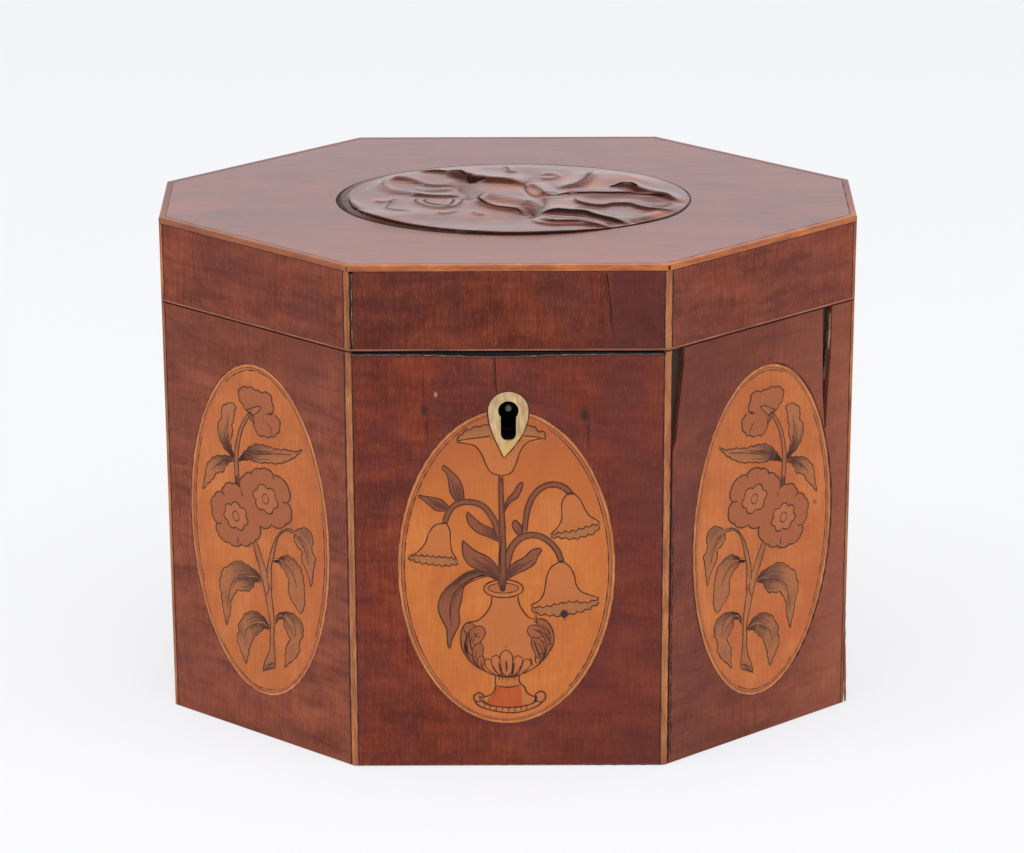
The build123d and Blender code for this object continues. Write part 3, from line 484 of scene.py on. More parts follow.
def grid_mesh(name, grids, **shades):
    """Mesh of several grids of points, each a (rows, columns, 3) array in millimetres whose
    neighbours are joined by quads. Points in one place become one, which closes seams and poles.
    Each shade holds one number a point and becomes an attribute of its name."""
    points, quads, first = [], [], 0
    for grid in grids:
        rows, columns = grid.shape[:2]
        at = first + np.arange(rows * columns).reshape(rows, columns)
        around = [at[:-1, :-1], at[:-1, 1:], at[1:, 1:], at[1:, :-1]]
        quads.append(np.stack(around, axis=-1).reshape(-1, 4))
        points.append(grid.reshape(-1, 3))
        first += rows * columns
    mesh = bpy.data.meshes.new(name)
    mesh.from_pydata((np.concatenate(points) * MM).tolist(), [], np.concatenate(quads).tolist())
    for shade, values in shades.items():
        attribute = mesh.attributes.new(shade, "FLOAT", "POINT")
        attribute.data.foreach_set("value", np.concatenate([v.ravel() for v in values]).astype(np.float32))
    joined = bmesh.new()
    joined.from_mesh(mesh)
    bmesh.ops.remove_doubles(joined, verts=joined.verts, dist=1e-7)
    joined.to_mesh(mesh)
    joined.free()
    made = bpy.data.objects.new(name, mesh)
    bpy.context.scene.collection.objects.link(made)
    return made


def fix_down(obj, wood, body, depth):
    """Give a laid surface its finish, its depth inwards and the body that carries it."""
    obj.data.materials.append(wood["material"])
    thick = obj.modifiers.new("thickness", "SOLIDIFY")
    thick.thickness = depth * MM
    thick.offset = -1
    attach(obj, body)
    return obj


def joint_lines(name, body, lines, wood=dirt_and_shade, proud=joint_proud, depth=0.05):
    """Thin dark fillets along joints: each is a face, a line of (along, up) points on it, a width
    and how much the width wavers. Their outer side is proud of the face, and they go to a depth."""
    grids = []
    for face, line, width, waver in lines:
        flat = strip(line, width, waver=waver)
        grids.append(on_face(face, np.dstack([flat, np.full(flat.shape[:2], proud)])))
    return fix_down(grid_mesh(name, grids), wood, body, depth)


def upright(face, side, low, high, width, waver=0.3):
    """Joint beside a corner string: side is -1 at the start of a face and 1 at its end."""
    along = side * (face_width(face) / 2 - string_joint)
    heights = np.linspace(high, low, 90)
    return face, np.stack([np.full(90, along), heights], axis=1), width, waver


arris_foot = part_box("lid_arris_strings")[0].z / MM
rim_string_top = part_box("lid_corner_strings")[0].z / MM
case_lines, lid_lines = [], []
for face in range(8):
    half = face_width(face) / 2 - 0.3
    level = np.linspace(-half, half, 60)
    # The dark line just under each arris string is its joint, with painted shadow below the string.
    lid_lines.append((face, np.stack([level, np.full(60, arris_foot - 0.04)], axis=1), 0.2, 0.3))
    for side in (-1, 1):
        open_joint = face == FRONT_LEFT and side == 1
        case_lines.append(upright(face, side, case_foot, rim_height, 0.42 if open_joint else 0.3))
        crisp_joint = face in (FRONT, FRONT_RIGHT) and (face == FRONT) == (side == 1)
        lid_lines.append(upright(face, side, rim_string_top, arris_foot, 0.34 if crisp_joint else 0.3))
case_lines.append(upright(FRONT_RIGHT, -1, 1.0, 78.0, 0.36, 0.5))
split_at = string_joint + 0.8 - face_width(FRONT_RIGHT) / 2
split_heights = np.linspace(2.0, 62.0, 200)
split_along = split_at + 0.12 * np.sin(split_heights * 0.9) + 0.08 * np.sin(split_heights * 2.3)
case_lines.append((FRONT_RIGHT, np.stack([split_along, split_heights], axis=1), 0.34, 0.9))
lid_lines.append(upright(FRONT, -1, rim_string_top, arris_foot, 0.8, 0.25))
joint_lines("case_joints", "case", case_lines)
joint_lines("lid_joints_and_painted_shadow", "lid", lid_lines)

# The lid's front left joint has opened, and a pale line in it is a painted highlight on its bared edge.
bare_edge_and_glint = timber(
    "bared_veneer_edge_and_painted_glint", ["#54453d", "#7a695d", "#94826f"], (0.5, 0.5, 1.5), (2, 2, 5), 0.6, 0.004
)
glint_along = 0.12 - face_width(FRONT) / 2 + string_joint
glint_heights = np.linspace(arris_foot - 0.6, rim_string_top + 0.4, 60)
glint_line = np.stack([np.full(60, glint_along), glint_heights], axis=1)
joint_lines("lid_joint_edge", "lid", [(FRONT, glint_line, 0.16, 0.9)], bare_edge_and_glint, proud=0.02)

# The front's lower edge is rubbed bare, most at the right.
foot_along = np.linspace(0.8 - half_front, half_front - 1.6, 80)
foot_edge = np.stack([foot_along, np.full(80, case_foot + 0.14)], axis=1)
rubbed = [(FRONT, foot_edge, 0.12, 0.9), (FRONT, foot_edge[60:], 0.3, 0.5)]
joint_lines("case_foot_edge", "case", rubbed, bare_edge_and_glint, proud=0.01)

# Cracks run with the grain. Below the seam the front's top edge is worn back, and what lies there is
# painted: a black band of painted shadow, a painted glint on the worn edge and painted shade under it.
lid_crack = smooth_line([(21.0, 118.3), (21.4, 113.5), (22.1, 110.2), (22.3, 107.0), (23.6, 102.6)], 40)
joint_lines("lid_crack", "lid", [(FRONT, lid_crack, 0.26, 0.5)])
case_crack = smooth_line([(-3.0, 99.6), (-3.1, 96.0), (-2.9, 93.0), (-2.45, 90.4)], 30)
joint_lines("case_cracks", "case", [(FRONT, case_crack, 0.32, 0.5)])
# A near-black band of painted shadow lies under the lid, deepest where the veneer is broken back at the
# crack.
seam_points = 160
seam_along = np.linspace(0.6 - half_front, half_front - 0.6, seam_points)
seam_wear_and_shadow = 0.42 + 0.5 * np.exp(-(((seam_along + 3.0) / 11) ** 2)) + 0.05 * np.sin(seam_along * 1.3)
seam_top = np.full(seam_points, rim_height)
seam_proud = np.full(seam_points, 0.008)
seam_edges = (seam_top - seam_wear_and_shadow, seam_top)
gap = np.stack([np.column_stack([seam_along, edge, seam_proud]) for edge in seam_edges])
painted_shade = timber("painted_shade_black", ["#080403", "#0d0706", "#140b09"], (2, 2, 2), (5, 5, 5), 0.8, 0.002)
fix_down(grid_mesh("case_seam_painted_shadow", [on_face(FRONT, gap)]), painted_shade, "case", 0.05)
# The grey line under the gap is the worn veneer edge with a painted glint on it, and the dark line below it
# is painted shade.
grey_edge = timber(
    "worn_veneer_edge_and_painted_glint", ["#4a342f", "#67504a", "#86695f"], (1.5, 0.5, 0.5), (5, 2, 2), 0.6, 0.004
)
worn_edge_glint = np.stack([seam_along, rim_height - seam_wear_and_shadow - 0.1], axis=1)
joint_lines("case_worn_edge_painted_glint", "case", [(FRONT, worn_edge_glint, 0.2, 0.6)], grey_edge, proud=0.012)
joint_lines("case_seam_painted_shade", "case", [(FRONT, worn_edge_glint - [0, 0.24], 0.26, 0.6)])

# A sliver of veneer is still glued in the slit beside the right oval, with dark gaps beside it.
sliver = timber("veneer_sliver", ["#2c1a15", "#42281f", "#5e3e30"], (0.3, 0.3, 5), (1.5, 1.5, 8), 0.6, 0.01)
sliver_line = smooth_line([(20.1, 99.2), (19.9, 93.5), (19.4, 87.0), (18.95, 82.5)], 40)
joint_lines("slit_sliver", "case", [(FRONT_RIGHT, sliver_line, 0.9, 0.3)], sliver, proud=-0.5, depth=0.7)
# The pale streak down the sliver is a painted highlight.
sliver_highlight = timber("painted_highlight_on_sliver", ["#7d6446", "#a88a66", "#c2a582"], (0.3, 0.3, 2), (1, 1, 3), 0.6, 0.01)
sliver_highlight_line = smooth_line([(20.35, 98.2), (20.2, 94.5), (19.95, 90.0)], 24)
joint_lines("slit_painted_highlight", "case", [(FRONT_RIGHT, sliver_highlight_line, 0.42, 0.5)], sliver_highlight, -0.4)

# The string at the right arris has sprung off its rebate near the foot.
sprung = smooth_line([(0.0, 29.0), (0.2, 18.0), (0.55, 8.0), (0.75, 0.6)], 30) + [half_length - 0.35, 0]
sprung_edges = strip(sprung, 0.5, waver=0.2)
sprung_depth = np.full(sprung_edges.shape[:2], -half_side - 0.3)
sprung_grid = np.stack([sprung_edges[..., 0], sprung_depth, sprung_edges[..., 1]], axis=-1)
fix_down(grid_mesh("case_sprung_string", [sprung_grid]), boxwood, "case", 0.8)

# A dark joint parts the top's sheet from its string, widest at the right.
top_joints = []
for face, width in ((FRONT - 1, 0.12), (FRONT, 0.08), (FRONT_RIGHT, 0.18), (FRONT_RIGHT + 1, 0.16)):
    half = face_width(face) / 2 - 0.9
    along = np.linspace(-half, half, 60)
    top_level = np.full(60, lid_top + 0.006)
    sides = [width / 2 * (1 + 0.5 * np.sin(0.9 * along)) * sign - 1.5 for sign in (1, -1)]
    edges = [np.column_stack([along, top_level, side]) for side in sides]
    top_joints.append(on_face(face, np.stack(edges)))
fix_down(grid_mesh("lid_top_joints", top_joints), dirt_and_shade, "lid", 0.04)

# The mitres of the lid's top string have opened at its two front corners.
mitres = []
for side, width in ((-1, 0.16), (1, 0.34)):
    corner = np.array([side * (half_front - 0.05), lid_top - 0.05])
    inner_end = np.array([side * (half_front - 0.12), arris_foot + 0.1])
    mitres.append((FRONT, np.linspace(corner, inner_end, 12), width, 0.8))
joint_lines("lid_mitre_joints", "lid", mitres)


# Satinwood ovals
# Each oval is a sheet of satinwood inside a boxwood line, toned orange by two centuries of
# polish, with upright grain so fine that it shows as a soft streak.
def satinwood(name, tones, ruddy):
    """Ground of an oval: soft upright streaks, and ruddier clouds where the polish is thick."""
    wood = timber(name, tones, (0.4, 0.4, 9), (14, 14, 18), 0.38, 0.005, 0.15)
    glaze(wood, grain(wood, (9, 9, 16), 2.0, 0.4), 0.48, 0.7, 0.55, ruddy)
    glaze(wood, grain(wood, (0.3, 0.3, 2.5), 2.0), 0.58, 0.74, 0.22, "#8a4826")
    return wood


front_satinwood = satinwood("satinwood_front", ["#b46532", "#c27036", "#cc7b41"], "#b96239")
glaze(front_satinwood, front_satinwood["axes"][Z], 56 * MM, 84 * MM, 0.9, "#a95a34")
finish_nodes(front_satinwood, "front_oval", "front_flowers", "front_foliage", "front_urn")
canted_satinwood = satinwood("satinwood_canted", ["#a85c33", "#b86838", "#c47542"], "#b05a37")
finish_nodes(canted_satinwood, "canted_ovals", "canted_flowers", "canted_foliage")
# The right oval has a small knot, and a smear of orange polish above it.
right_oval_marks = ((16.6, 53.6, (0.55, 0.55, 0.75), "#6e3a2c"), (17.0, 72.0, (0.9, 0.9, 3.5), "#c87038"))
for along, up, reach, hex_colour in right_oval_marks:
    mark = on_face(FRONT_RIGHT, np.array([along, up, 0.0]))
    stain(canted_satinwood, mark, reach, hex_colour, 0.85)
banding = timber(
    "boxwood_banding", ["#a45c34", "#bc7040", "#cd864e"], (0.5, 0.5, 5), (6, 6, 12), 0.38, 0.005, 0.2
)
finish_nodes(banding, "oval_bandings")


def inlay_wood(name, hex_colour, scorched, streak=0.3):
    """Veneer cut for a motif and shaded in hot sand: the attribute shade says how darkly."""
    wood = timber(name, [hex_colour] * 3, (0.35, 0.35, 5), (6, 6, 14), 0.38, 0.005, 0.15)
    glaze(wood, grain(wood, (0.3, 0.3, 3), 3.0), 0.5, 0.72, streak, scorched)
    shade = add(wood["tree"], "ShaderNodeAttribute", attribute_name="shade").outputs["Fac"]
    clouds = grain(wood, (1.2, 1.2, 2), 2.0)
    mottled = add(wood["tree"], "ShaderNodeMath", {0: clouds, 1: 0.7}, operation="ADD")
    depth = add(wood["tree"], "ShaderNodeMath", {0: shade, 1: mottled.outputs[0]}, operation="MULTIPLY")
    glaze(wood, depth.outputs[0], 0.0, 1.2, 1.0, scorched)
    return wood


MOTIF_WOODS = {
    "leaf": inlay_wood("sycamore_stained_leaf", "#8a4f38", "#372829"),
    "soft_leaf": inlay_wood("holly_sand_shaded_leaf", "#a8663e", "#4f3b38"),
    "soft_stem": inlay_wood("holly_sand_shaded_pale_stem", "#a9653d", "#4b3430", 0.25),
    "petal": inlay_wood("holly_toned_petal", "#a05b3a", "#6b3f2e", 0.2),
    "heart": inlay_wood("holly_pale_heart", "#ad6642", "#7a4630", 0.15),
    "bell": inlay_wood("holly_toned_bell", "#bb6d3d", "#7c4a2c", 0.2),
    "lip": inlay_wood("holly_toned_lip", "#a76a41", "#66462f", 0.4),
    "foot": inlay_wood("padouk_foot", "#b5552c", "#6b3420", 0.25),
}
mastic = timber(
    "black_mastic_in_cuts", ["#35190d", "#4a2413", "#63351f"], (0.5, 0.5, 1.5), (3, 3, 5), 0.5, 0.004
)
LEVEL_STEP = 0.003
CUT_WIDTH = 0.3
PETAL_STEPS = 12


def scorch(*spots):
    """Darkness over a piece: the sum of soft spots, each at s along it and t across it, with its
    reach along, its reach across and its depth."""
    return lambda s, t: sum(
        depth * np.exp(-(((s - at) / long) ** 2) - ((t - off) / wide) ** 2)
        for at, off, long, wide, depth in spots
    )


class Inlay:
    """The motif of one oval. Pieces are laid in order, each a hair above the last, so that a
    later piece hides the engraved lines of an earlier one where they cross."""

    def __init__(self, face, centre, flip=1.0, turn=0.0, shift=0.0, smoke=1.0):
        self.face, self.centre, self.flip, self.turn, self.shift = face, centre, flip, turn, shift
        self.smoke = smoke
        self.level = 0.0
        self.woods = {}
        self.cuts = []

    def raised(self, flat, level):
        """Face points of a flat grid, flipped, shifted and turned about the oval's centre. Its rows
        are reversed if it would face inwards, which the second value tells."""
        x, y = flat[..., 0] * self.flip + self.shift, flat[..., 1]
        c, s = math.cos(self.turn), math.sin(self.turn)
        along, up = self.centre[0] + x * c - y * s, self.centre[1] + x * s + y * c
        spots = np.stack([along, up, np.full(x.shape, level)], axis=-1)
        row, column = spots[1:, :-1] - spots[:-1, :-1], spots[:-1, 1:] - spots[:-1, :-1]
        reverse = (column[..., 0] * row[..., 1] - column[..., 1] * row[..., 0]).sum() <= 0
        return on_face(self.face, spots[::-1] if reverse else spots), reverse

    def lay(self, flat, shade, wood):
        """Put a (rows, columns, 2) grid down as a piece of a wood, at the next level."""
        self.level += LEVEL_STEP
        points, reverse = self.raised(flat, self.level)
        self.woods.setdefault(wood, []).append((points, (shade[::-1] if reverse else shade) * self.smoke))

    def cut(self, points, width, taper=0.2, count=0):
        """Engraved line through points, thinned towards both ends."""
        line = smooth_line(points, count) if count else np.asarray(points, float)
        self.cuts.append(self.raised(strip(line, width, taper), self.level + LEVEL_STEP * 0.6)[0])

    def cuts_through(self, *lines, width=0.2):
        """Several engraved lines, each through its own points."""
        for points in lines:
            self.cut(points, width, 0.3, 16)

    def piece(self, side_a, side_b, wood, shade=scorch(), count=48, edge=CUT_WIDTH, jag=0.0):
        """Piece between two edges: a point is s along both edges and t of the way across. Jagged
        edges swing outwards as the absolute sine does, once in about two millimetres."""
        a, b = smooth_line(side_a, count), smooth_line(side_b, count)
        if jag:
            inwards = b - a
            for side, sign in ((a, -1), (b, 1)):
                square = normals(side)
                square *= sign * np.sign((square * inwards).sum())
                teeth = max(round(np.linalg.norm(np.diff(side, axis=0), axis=1).sum() / 2.1), 1)
                along = np.linspace(0, 1, count)
                ends = np.clip(np.minimum(along, 1 - along) * 8, 0, 1)
                swing = np.abs(np.sin(math.pi * teeth * along)) * ends
                uneven = 0.75 + 0.45 * np.sin(3.0 * side[:, 0] + 0.7 * side[:, 1])
                side += square * (jag * uneven * (swing - 0.4))[:, None]
        t = np.linspace(0, 1, 7)[:, None, None]
        s = np.linspace(0, 1, count)[None, :]
        self.lay(a * (1 - t) + b * t, shade(s, t[..., 0]) + 0 * s * t[..., 0], wood)
        for side in (a, b) if edge else ():
            self.cut(side, edge, 0.02)
        return a, b

    def leaf(self, side_a, side_b, wood, shade, rib=(), hatch=(), rib_width=0.2, jag=0.0):
        """Leaf from its base to its tip, with a midrib and hatching: each hatch is the first and last
        place across the leaf, the number of lines and their length as a share of the leaf."""
        a, b = self.piece(side_a, side_b, wood, shade, 72 if jag else 48, jag=jag)
        if len(rib):
            line = smooth_line(rib, 30)
            self.cut(line, rib_width * 1.3)
            self.cut(line[:22] + normals(line)[:22] * 0.55, rib_width * 0.8)
        for first, last, number, length in hatch:
            for k, t in enumerate(np.linspace(first, last, number)):
                end = int(len(a) * length * (0.8 + 0.25 * math.sin(2.4 * k + 1)))
                self.cut((a * (1 - t) + b * t)[2 : end + 3], 0.2, 0.4)

    def stalk(self, points, start, end, wood, shade):
        """Stalk whose width goes evenly from start to end along a line, with a cut down each side."""
        line = smooth_line(points, 40)
        half = np.linspace(start, end, len(line))[:, None] / 2
        t = np.linspace(0, 1, 5)[:, None, None]
        edges = line - normals(line) * half, line + normals(line) * half
        darkness = shade + 0.5 * np.abs(t[..., 0] - 0.5) * np.ones((1, len(line)))
        self.lay(edges[0] * (1 - t) + edges[1] * t, darkness, wood)
        for edge in edges:
            self.cut(edge, 0.28, 0.02)

    def rose(self, notches, wood, shade=0.06, edge=0.36, closed=True, bulge=0.22):
        """Flower filled from its middle to an outline of petals. Between two notches the edge bulges
        outwards by a share of their distance, as a sine does; an open outline lacks its last petal."""
        knots = np.asarray(notches + notches[:1], float)
        share = np.linspace(0, 1, PETAL_STEPS + 1)[:-1]
        sense = np.sign((knots[:-1, 0] * knots[1:, 1] - knots[1:, 0] * knots[:-1, 1]).sum()) * bulge
        rim = []
        for start, end in zip(knots[:-1], knots[1:]):
            chord = end - start
            outwards = np.array([chord[1], -chord[0]]) * sense * (closed or len(rim) < len(notches) - 1)
            rim.append(start + chord * share[:, None] + outwards * np.sin(math.pi * share)[:, None] ** 0.6)
        rim = np.concatenate(rim + [knots[:1]])
        centre = rim[:-1].mean(axis=0)
        reach = np.linspace(0, 1, 8)[:, None, None]
        self.lay(centre + (rim - centre) * reach, shade * reach[..., 0] ** 2 * np.ones((1, len(rim))), wood)
        self.cut(rim if closed else rim[:-PETAL_STEPS], edge, 0.005)

    def finish(self, name, body):
        """Make the meshes: one piece for each wood and one for the cuts, each closed below."""
        for wood, laid in self.woods.items():
            grids, shades = zip(*laid)
            obj = grid_mesh(f"{name}_{wood}_veneers", grids, shade=shades)
            fix_down(obj, MOTIF_WOODS[wood], body, 0.2)
        fix_down(grid_mesh(f"{name}_engraving", self.cuts), mastic, body, 0.1)


def ruffled(points, waves, depth):
    """Line whose distance from a smooth one goes as the absolute sine, one arch for each wave."""
    line = smooth_line(points, 10 * waves + 1)
    swing = np.abs(np.sin(np.linspace(0, math.pi * waves, len(line)))) - 0.5
    return line + normals(line) * (depth * swing)[:, None]


# Oval lines
# The boxwood line of each oval lies between dark lines, and a second line of toned wood, worn
# through in places, runs inside it.
inner_line = timber(
    "toned_line", ["#8f4f30", "#a65f3a", "#b56c44"], (0.5, 0.5, 4), (5, 5, 10), 0.4, 0.004, 0.15
)


def oval_line(centre, half_width, half_height, inset, start, end):
    """Part of an ellipse drawn in by inset, from one angle to another in degrees: the centre plus
    half-width times cosine and half-height times sine."""
    angle = np.radians(np.linspace(start, end, max(int(abs(end - start) * 1.2), 12)))
    along = centre[0] + (half_width - inset) * np.cos(angle)
    up = centre[1] + (half_height - inset) * np.sin(angle)
    return np.stack([along, up], axis=1)


front_centre = np.array([-0.5, 48.7])
left_centre = np.array([0.4, 50.8])
right_centre = np.array([1.0, 50.2])
front_oval_half = (24.2, 38.0)
canted_oval_half = (20.5, 40.3)
oval_lines, line_bands = [], []
# On the front the lines stop at the escutcheon.
OVALS = (
    (FRONT, front_centre, front_oval_half, (99, 438.5), ((-52, 66), (112, 236))),
    (FRONT_LEFT, left_centre, canted_oval_half, (0, 360), ((-34, 14), (62, 118), (150, 205), (232, 282))),
    (FRONT_RIGHT, right_centre, canted_oval_half, (0, 360), ((-40, 40), (75, 110), (250, 300))),
)
for face, centre, half, whole, broken in OVALS:
    oval_lines.append((face, oval_line(centre, *half, 0.0, *whole), 0.2, 0.7))
    oval_lines.append((face, oval_line(centre, *half, 0.82, *whole), 0.14, 0.5))
    for start, end in broken:
        oval_lines.append((face, oval_line(centre, *half, 1.5, start, end), 0.2, 0.7))
    line_bands.append((face, oval_line(centre, *half, 1.14, *whole), 0.6, 0.1))
# The right oval has lifted a little, which opens its joint below and at the left.
for start, end, width in ((-62, 24, 0.5), (24, 84, 0.4), (172, 216, 0.42)):
    oval_lines.append(
        (FRONT_RIGHT, oval_line(right_centre, *canted_oval_half, -0.15, start, end), width, 0.6)
    )
joint_lines("oval_inner_lines", "case", line_bands, inner_line, 0.003)
joint_lines("oval_dark_lines", "case", oval_lines, mastic)


# Front motif
# A footed urn with bell flowers and a tulip, cut from toned veneers and engraved. Points are
# millimetres from a point half a millimetre left of the oval's centre, to the right and up.
front = Inlay(FRONT, front_centre - [0.5, 0.0])


def bell(inlay, left, right, upper, lower, waves):
    """Bell flower: a body from its neck to the band's upper line, and a grey scalloped lip below it."""
    inlay.piece(left, right, "bell", scorch((0.95, 0.5, 0.3, 0.6, 0.12)))
    rims = ruffled(upper, waves, -0.45), ruffled(lower, waves, -0.5)
    inlay.piece(
        *rims, "lip", scorch((0.0, 0.5, 0.1, 1, 0.5), (1.0, 0.5, 0.08, 1, 0.4)), count=10 * waves + 1
    )


# Bell flowers at the left, the upper right and the lower right, the last with its pistil.
bell(
    front,
    [(-13.6, 11.0), (-15.2, 10.6), (-16.6, 8.8), (-17.6, 6.1), (-19, 4.3), (-21.4, 3.0)],
    [(-12.7, 11.0), (-12.1, 9.5), (-11.9, 6.3), (-11.5, 4.0), (-10.3, 2.0)],
    [(-21.0, 3.3), (-18.5, 3.3), (-15.5, 3.0), (-12.5, 2.8), (-10.5, 2.5)],
    [(-21.5, 2.7), (-19, 1.6), (-16, 1.1), (-13, 0.8), (-10.2, 1.2)],
    8
)
bell(
    front,
    [(14.0, 17.9), (13, 16.6), (12.7, 14.3), (12.7, 11.8), (11.8, 9.9), (10.2, 8.2)],
    [(15.3, 18.1), (16.8, 16.6), (17.7, 14.6), (18.8, 12.8), (20.4, 11.7), (21.3, 11.0)],
    [(10.4, 8.3), (13, 8.8), (15.5, 9.2), (18, 10), (21.1, 10.9)],
    [(10.2, 7.6), (12.5, 7.5), (15.2, 7.2), (17.7, 7.8), (20, 8.7), (21.3, 10.2)],
    7
)
bell(
    front,
    [(12.1, 1.6), (10.5, 0.4), (9.5, -1.7), (9.1, -4.2), (8.7, -6.2), (7.8, -7.7), (5.7, -9.0)],
    [(13.3, 1.6), (14.6, 0.3), (15.6, -1.9), (16, -4), (17, -5.5), (19, -6.4), (21.2, -7.2)],
    [(6, -9.3), (9, -9.2), (12, -8.5), (15, -8), (18, -8.2), (21.1, -7.3)],
    [(5.8, -9.7), (7.2, -10.8), (10, -11.3), (13, -11.4), (16, -10.7), (18.5, -9.9), (21.2, -8.2)],
    9
)
front.piece(
    [(12.7, -10.4), (12.6, -11.2), (13.3, -11.9), (14.1, -11.4)],
    [(12.7, -10.4), (13.3, -10.1), (13.9, -10.4), (14.1, -11.4)],
    "leaf", lambda s, t: 1.2
)
front.cuts_through([(13.4, -11.6), (13.45, -12.8)])

# The tulip: two far petals, the cup, and a scalloped lip to each side.
front.piece(
    [(-10.3, 30.5), (-6, 31.2), (-3.0, 31.8)], [(-10.3, 30.3), (-6, 30), (-3.0, 30)], "bell", edge=0
)
front.piece([(4.0, 31.9), (7.0, 31.6), (9.1, 31.1)], [(4.0, 30), (7.0, 30.3), (9.1, 30.9)], "bell", edge=0)
front.piece(
    [(-10.4, 30.3), (-8.5, 30), (-6.5, 29.5), (-5, 27.6), (-4, 25.1), (-2.8, 23.1), (-0.6, 22.3)],
    [(9.1, 31.2), (7.3, 30.9), (5, 30.1), (3.6, 28.1), (2.6, 25.1), (1.4, 22.9), (-0.6, 22.3)],
    "bell", scorch((0.15, 0.75, 0.35, 0.3, 0.3))
)
front.piece(
    [(-10.3, 30.6), (-7.5, 31.1), (-5, 31.4), (-3.0, 31.7)],
    ruffled([(-10.4, 30.5), (-9.6, 31.9), (-8, 33.1), (-6, 33.9), (-3.2, 34.4)], 4, 0.3),
    "lip", scorch((0.5, 0.9, 0.8, 0.4, 0.4))
)
front.piece(
    [(9.2, 30.9), (7.0, 31.5), (4.0, 31.8)],
    ruffled([(9.2, 31.2), (8.6, 32.7), (7.2, 33), (6.8, 33.7), (3.8, 34.0)], 3, -0.3),
    "lip", scorch((0.3, 0.9, 0.6, 0.4, 0.4))
)

# Small leaves and curved stalks, the three leaves behind the urn's mouth, and the stem.
base_dark = scorch((0.05, 0.5, 0.3, 0.6, 0.55))
front.leaf(
    [(-10.5, 16.0), (-11.8, 18.3), (-12.2, 20.8), (-12.6, 22.8), (-13.6, 24.2), (-13.3, 24.9)],
    [(-8.8, 16.0), (-9.1, 19.3), (-10, 21.6), (-11.7, 23.5), (-13.3, 24.9)],
    "leaf", base_dark, hatch=((0.3, 0.75, 3, 0.6),)
)
front.leaf(
    [(-12.3, 15.0), (-14, 16.7), (-15.8, 17.2), (-17.8, 17.5), (-19, 17.8)],
    [(-12.8, 13.9), (-15, 14.1), (-16.5, 15.3), (-17.9, 16.6), (-19, 17.4)],
    "leaf", scorch((0.2, 0.5, 0.4, 0.3, 0.7)), hatch=((0.35, 0.65, 2, 0.6),)
)
front.leaf(
    [(-0.9, 8.7), (-2.5, 9.6), (-5, 10.9), (-7, 12.6), (-8.2, 13.8)],
    [(-0.9, 6.4), (-3.5, 7.7), (-5.8, 8.7), (-7.8, 10.8), (-8.4, 13.3)],
    "leaf", base_dark, hatch=((0.2, 0.75, 3, 0.55),)
)
front.stalk(
    [(-1.1, 8.0), (-2.6, 12.3), (-5, 15.3), (-8, 16.1), (-10.8, 15.4), (-12.3, 13.6), (-13.1, 11.3)],
    1.3, 1.1, "leaf", 0.05
)
front.leaf(
    [(-0.1, 14.6), (0.6, 16.5), (2, 18.2), (3.2, 20.2), (4.0, 20.9)],
    [(-0.1, 13.4), (1.3, 15.9), (3, 17.2), (3.7, 18.7), (4.2, 20.7)],
    "leaf", base_dark, hatch=((0.5, 0.5, 1, 0.4),)
)
front.stalk(
    [
        (4.5, 9.0), (4.7, 11.3), (5.4, 15.1), (6.9, 18.1), (9, 19.8), (11.2, 20.2), (13.2, 19.5),
        (14.7, 18.0)
    ],
    1.05, 1.3, "leaf", 0.05
)
front.leaf(
    [(3.2, 8.0), (2.2, 9.3), (1.9, 11.0), (2.3, 11.8)], [(4.1, 8.6), (3.7, 10.3), (2.6, 11.7)], "leaf",
    base_dark
)
front.stalk(
    [
        (0.2, -1.0), (0.7, 2), (1.6, 5), (3.5, 7.3), (5.6, 8.1), (7.9, 7.8), (10.2, 6.3), (12, 3.8),
        (12.7, 1.6)
    ],
    1.5, 1.15, "leaf", 0.05
)
front.leaf(
    [
        (-1.5, -1.9), (-4.5, -0.3), (-8, -0.7), (-11, -2.9), (-13.8, -5.9), (-14.8, -9.2),
        (-14.2, -11.8), (-13, -14.4), (-12.8, -17.7), (-12.5, -19.5)
    ],
    [
        (-1.7, -2.7), (-4, -1.7), (-6.5, -2.1), (-9, -4.3), (-9.5, -7.2), (-10.2, -10.2),
        (-10.1, -13.5), (-10.9, -15.2), (-11.9, -17.7), (-12.2, -19.5)
    ],
    "leaf",
    scorch((0.28, 0.1, 0.16, 0.45, 1.0), (0.12, 0.4, 0.1, 0.5, 0.6)),
    [(-3.8, -1.1), (-8.6, -3.2), (-11.4, -6.4), (-12.1, -10.4), (-11.9, -14.2)],
    ((0.12, 0.3, 2, 0.5),), 0.26
)
front.leaf(
    [(-1.2, -0.4), (-2.2, 1.4), (-4, 3.1), (-6, 4.1), (-7.9, 5.6), (-9.2, 6.9)],
    [(-1.4, -3.0), (-3, -1.5), (-5.5, -0.3), (-7.6, 0.8), (-8.9, 2.6), (-9.3, 5), (-9.2, 6.9)],
    "leaf", scorch((0.1, 0.7, 0.3, 0.4, 0.6)), [(-1.6, -2.2), (-4.4, 0.6), (-7.2, 2.8)],
    ((0.2, 0.45, 2, 0.45),)
)
front.leaf(
    [(0.3, -1.6), (1.0, 0.2), (2.5, 1.6), (4.6, 2.9), (6.2, 4.5), (8, 5.0)],
    [(0.2, -2.9), (2.5, -1.3), (5.3, 0.1), (6.8, 1.3), (7.4, 2.8), (8.4, 4.7)],
    "leaf", scorch((0.1, 0.5, 0.25, 0.5, 0.6)), [(0.4, -2.2), (3.4, 0.2), (6.2, 2.2)],
    ((0.3, 0.3, 1, 0.4),)
)
front.stalk(
    [(-0.75, 22.2), (-0.6, 15), (-0.4, 9.3), (-0.4, 3), (-0.5, -1.4), (-0.4, -4.2)],
    0.8, 1.7, "leaf", 0.1
)
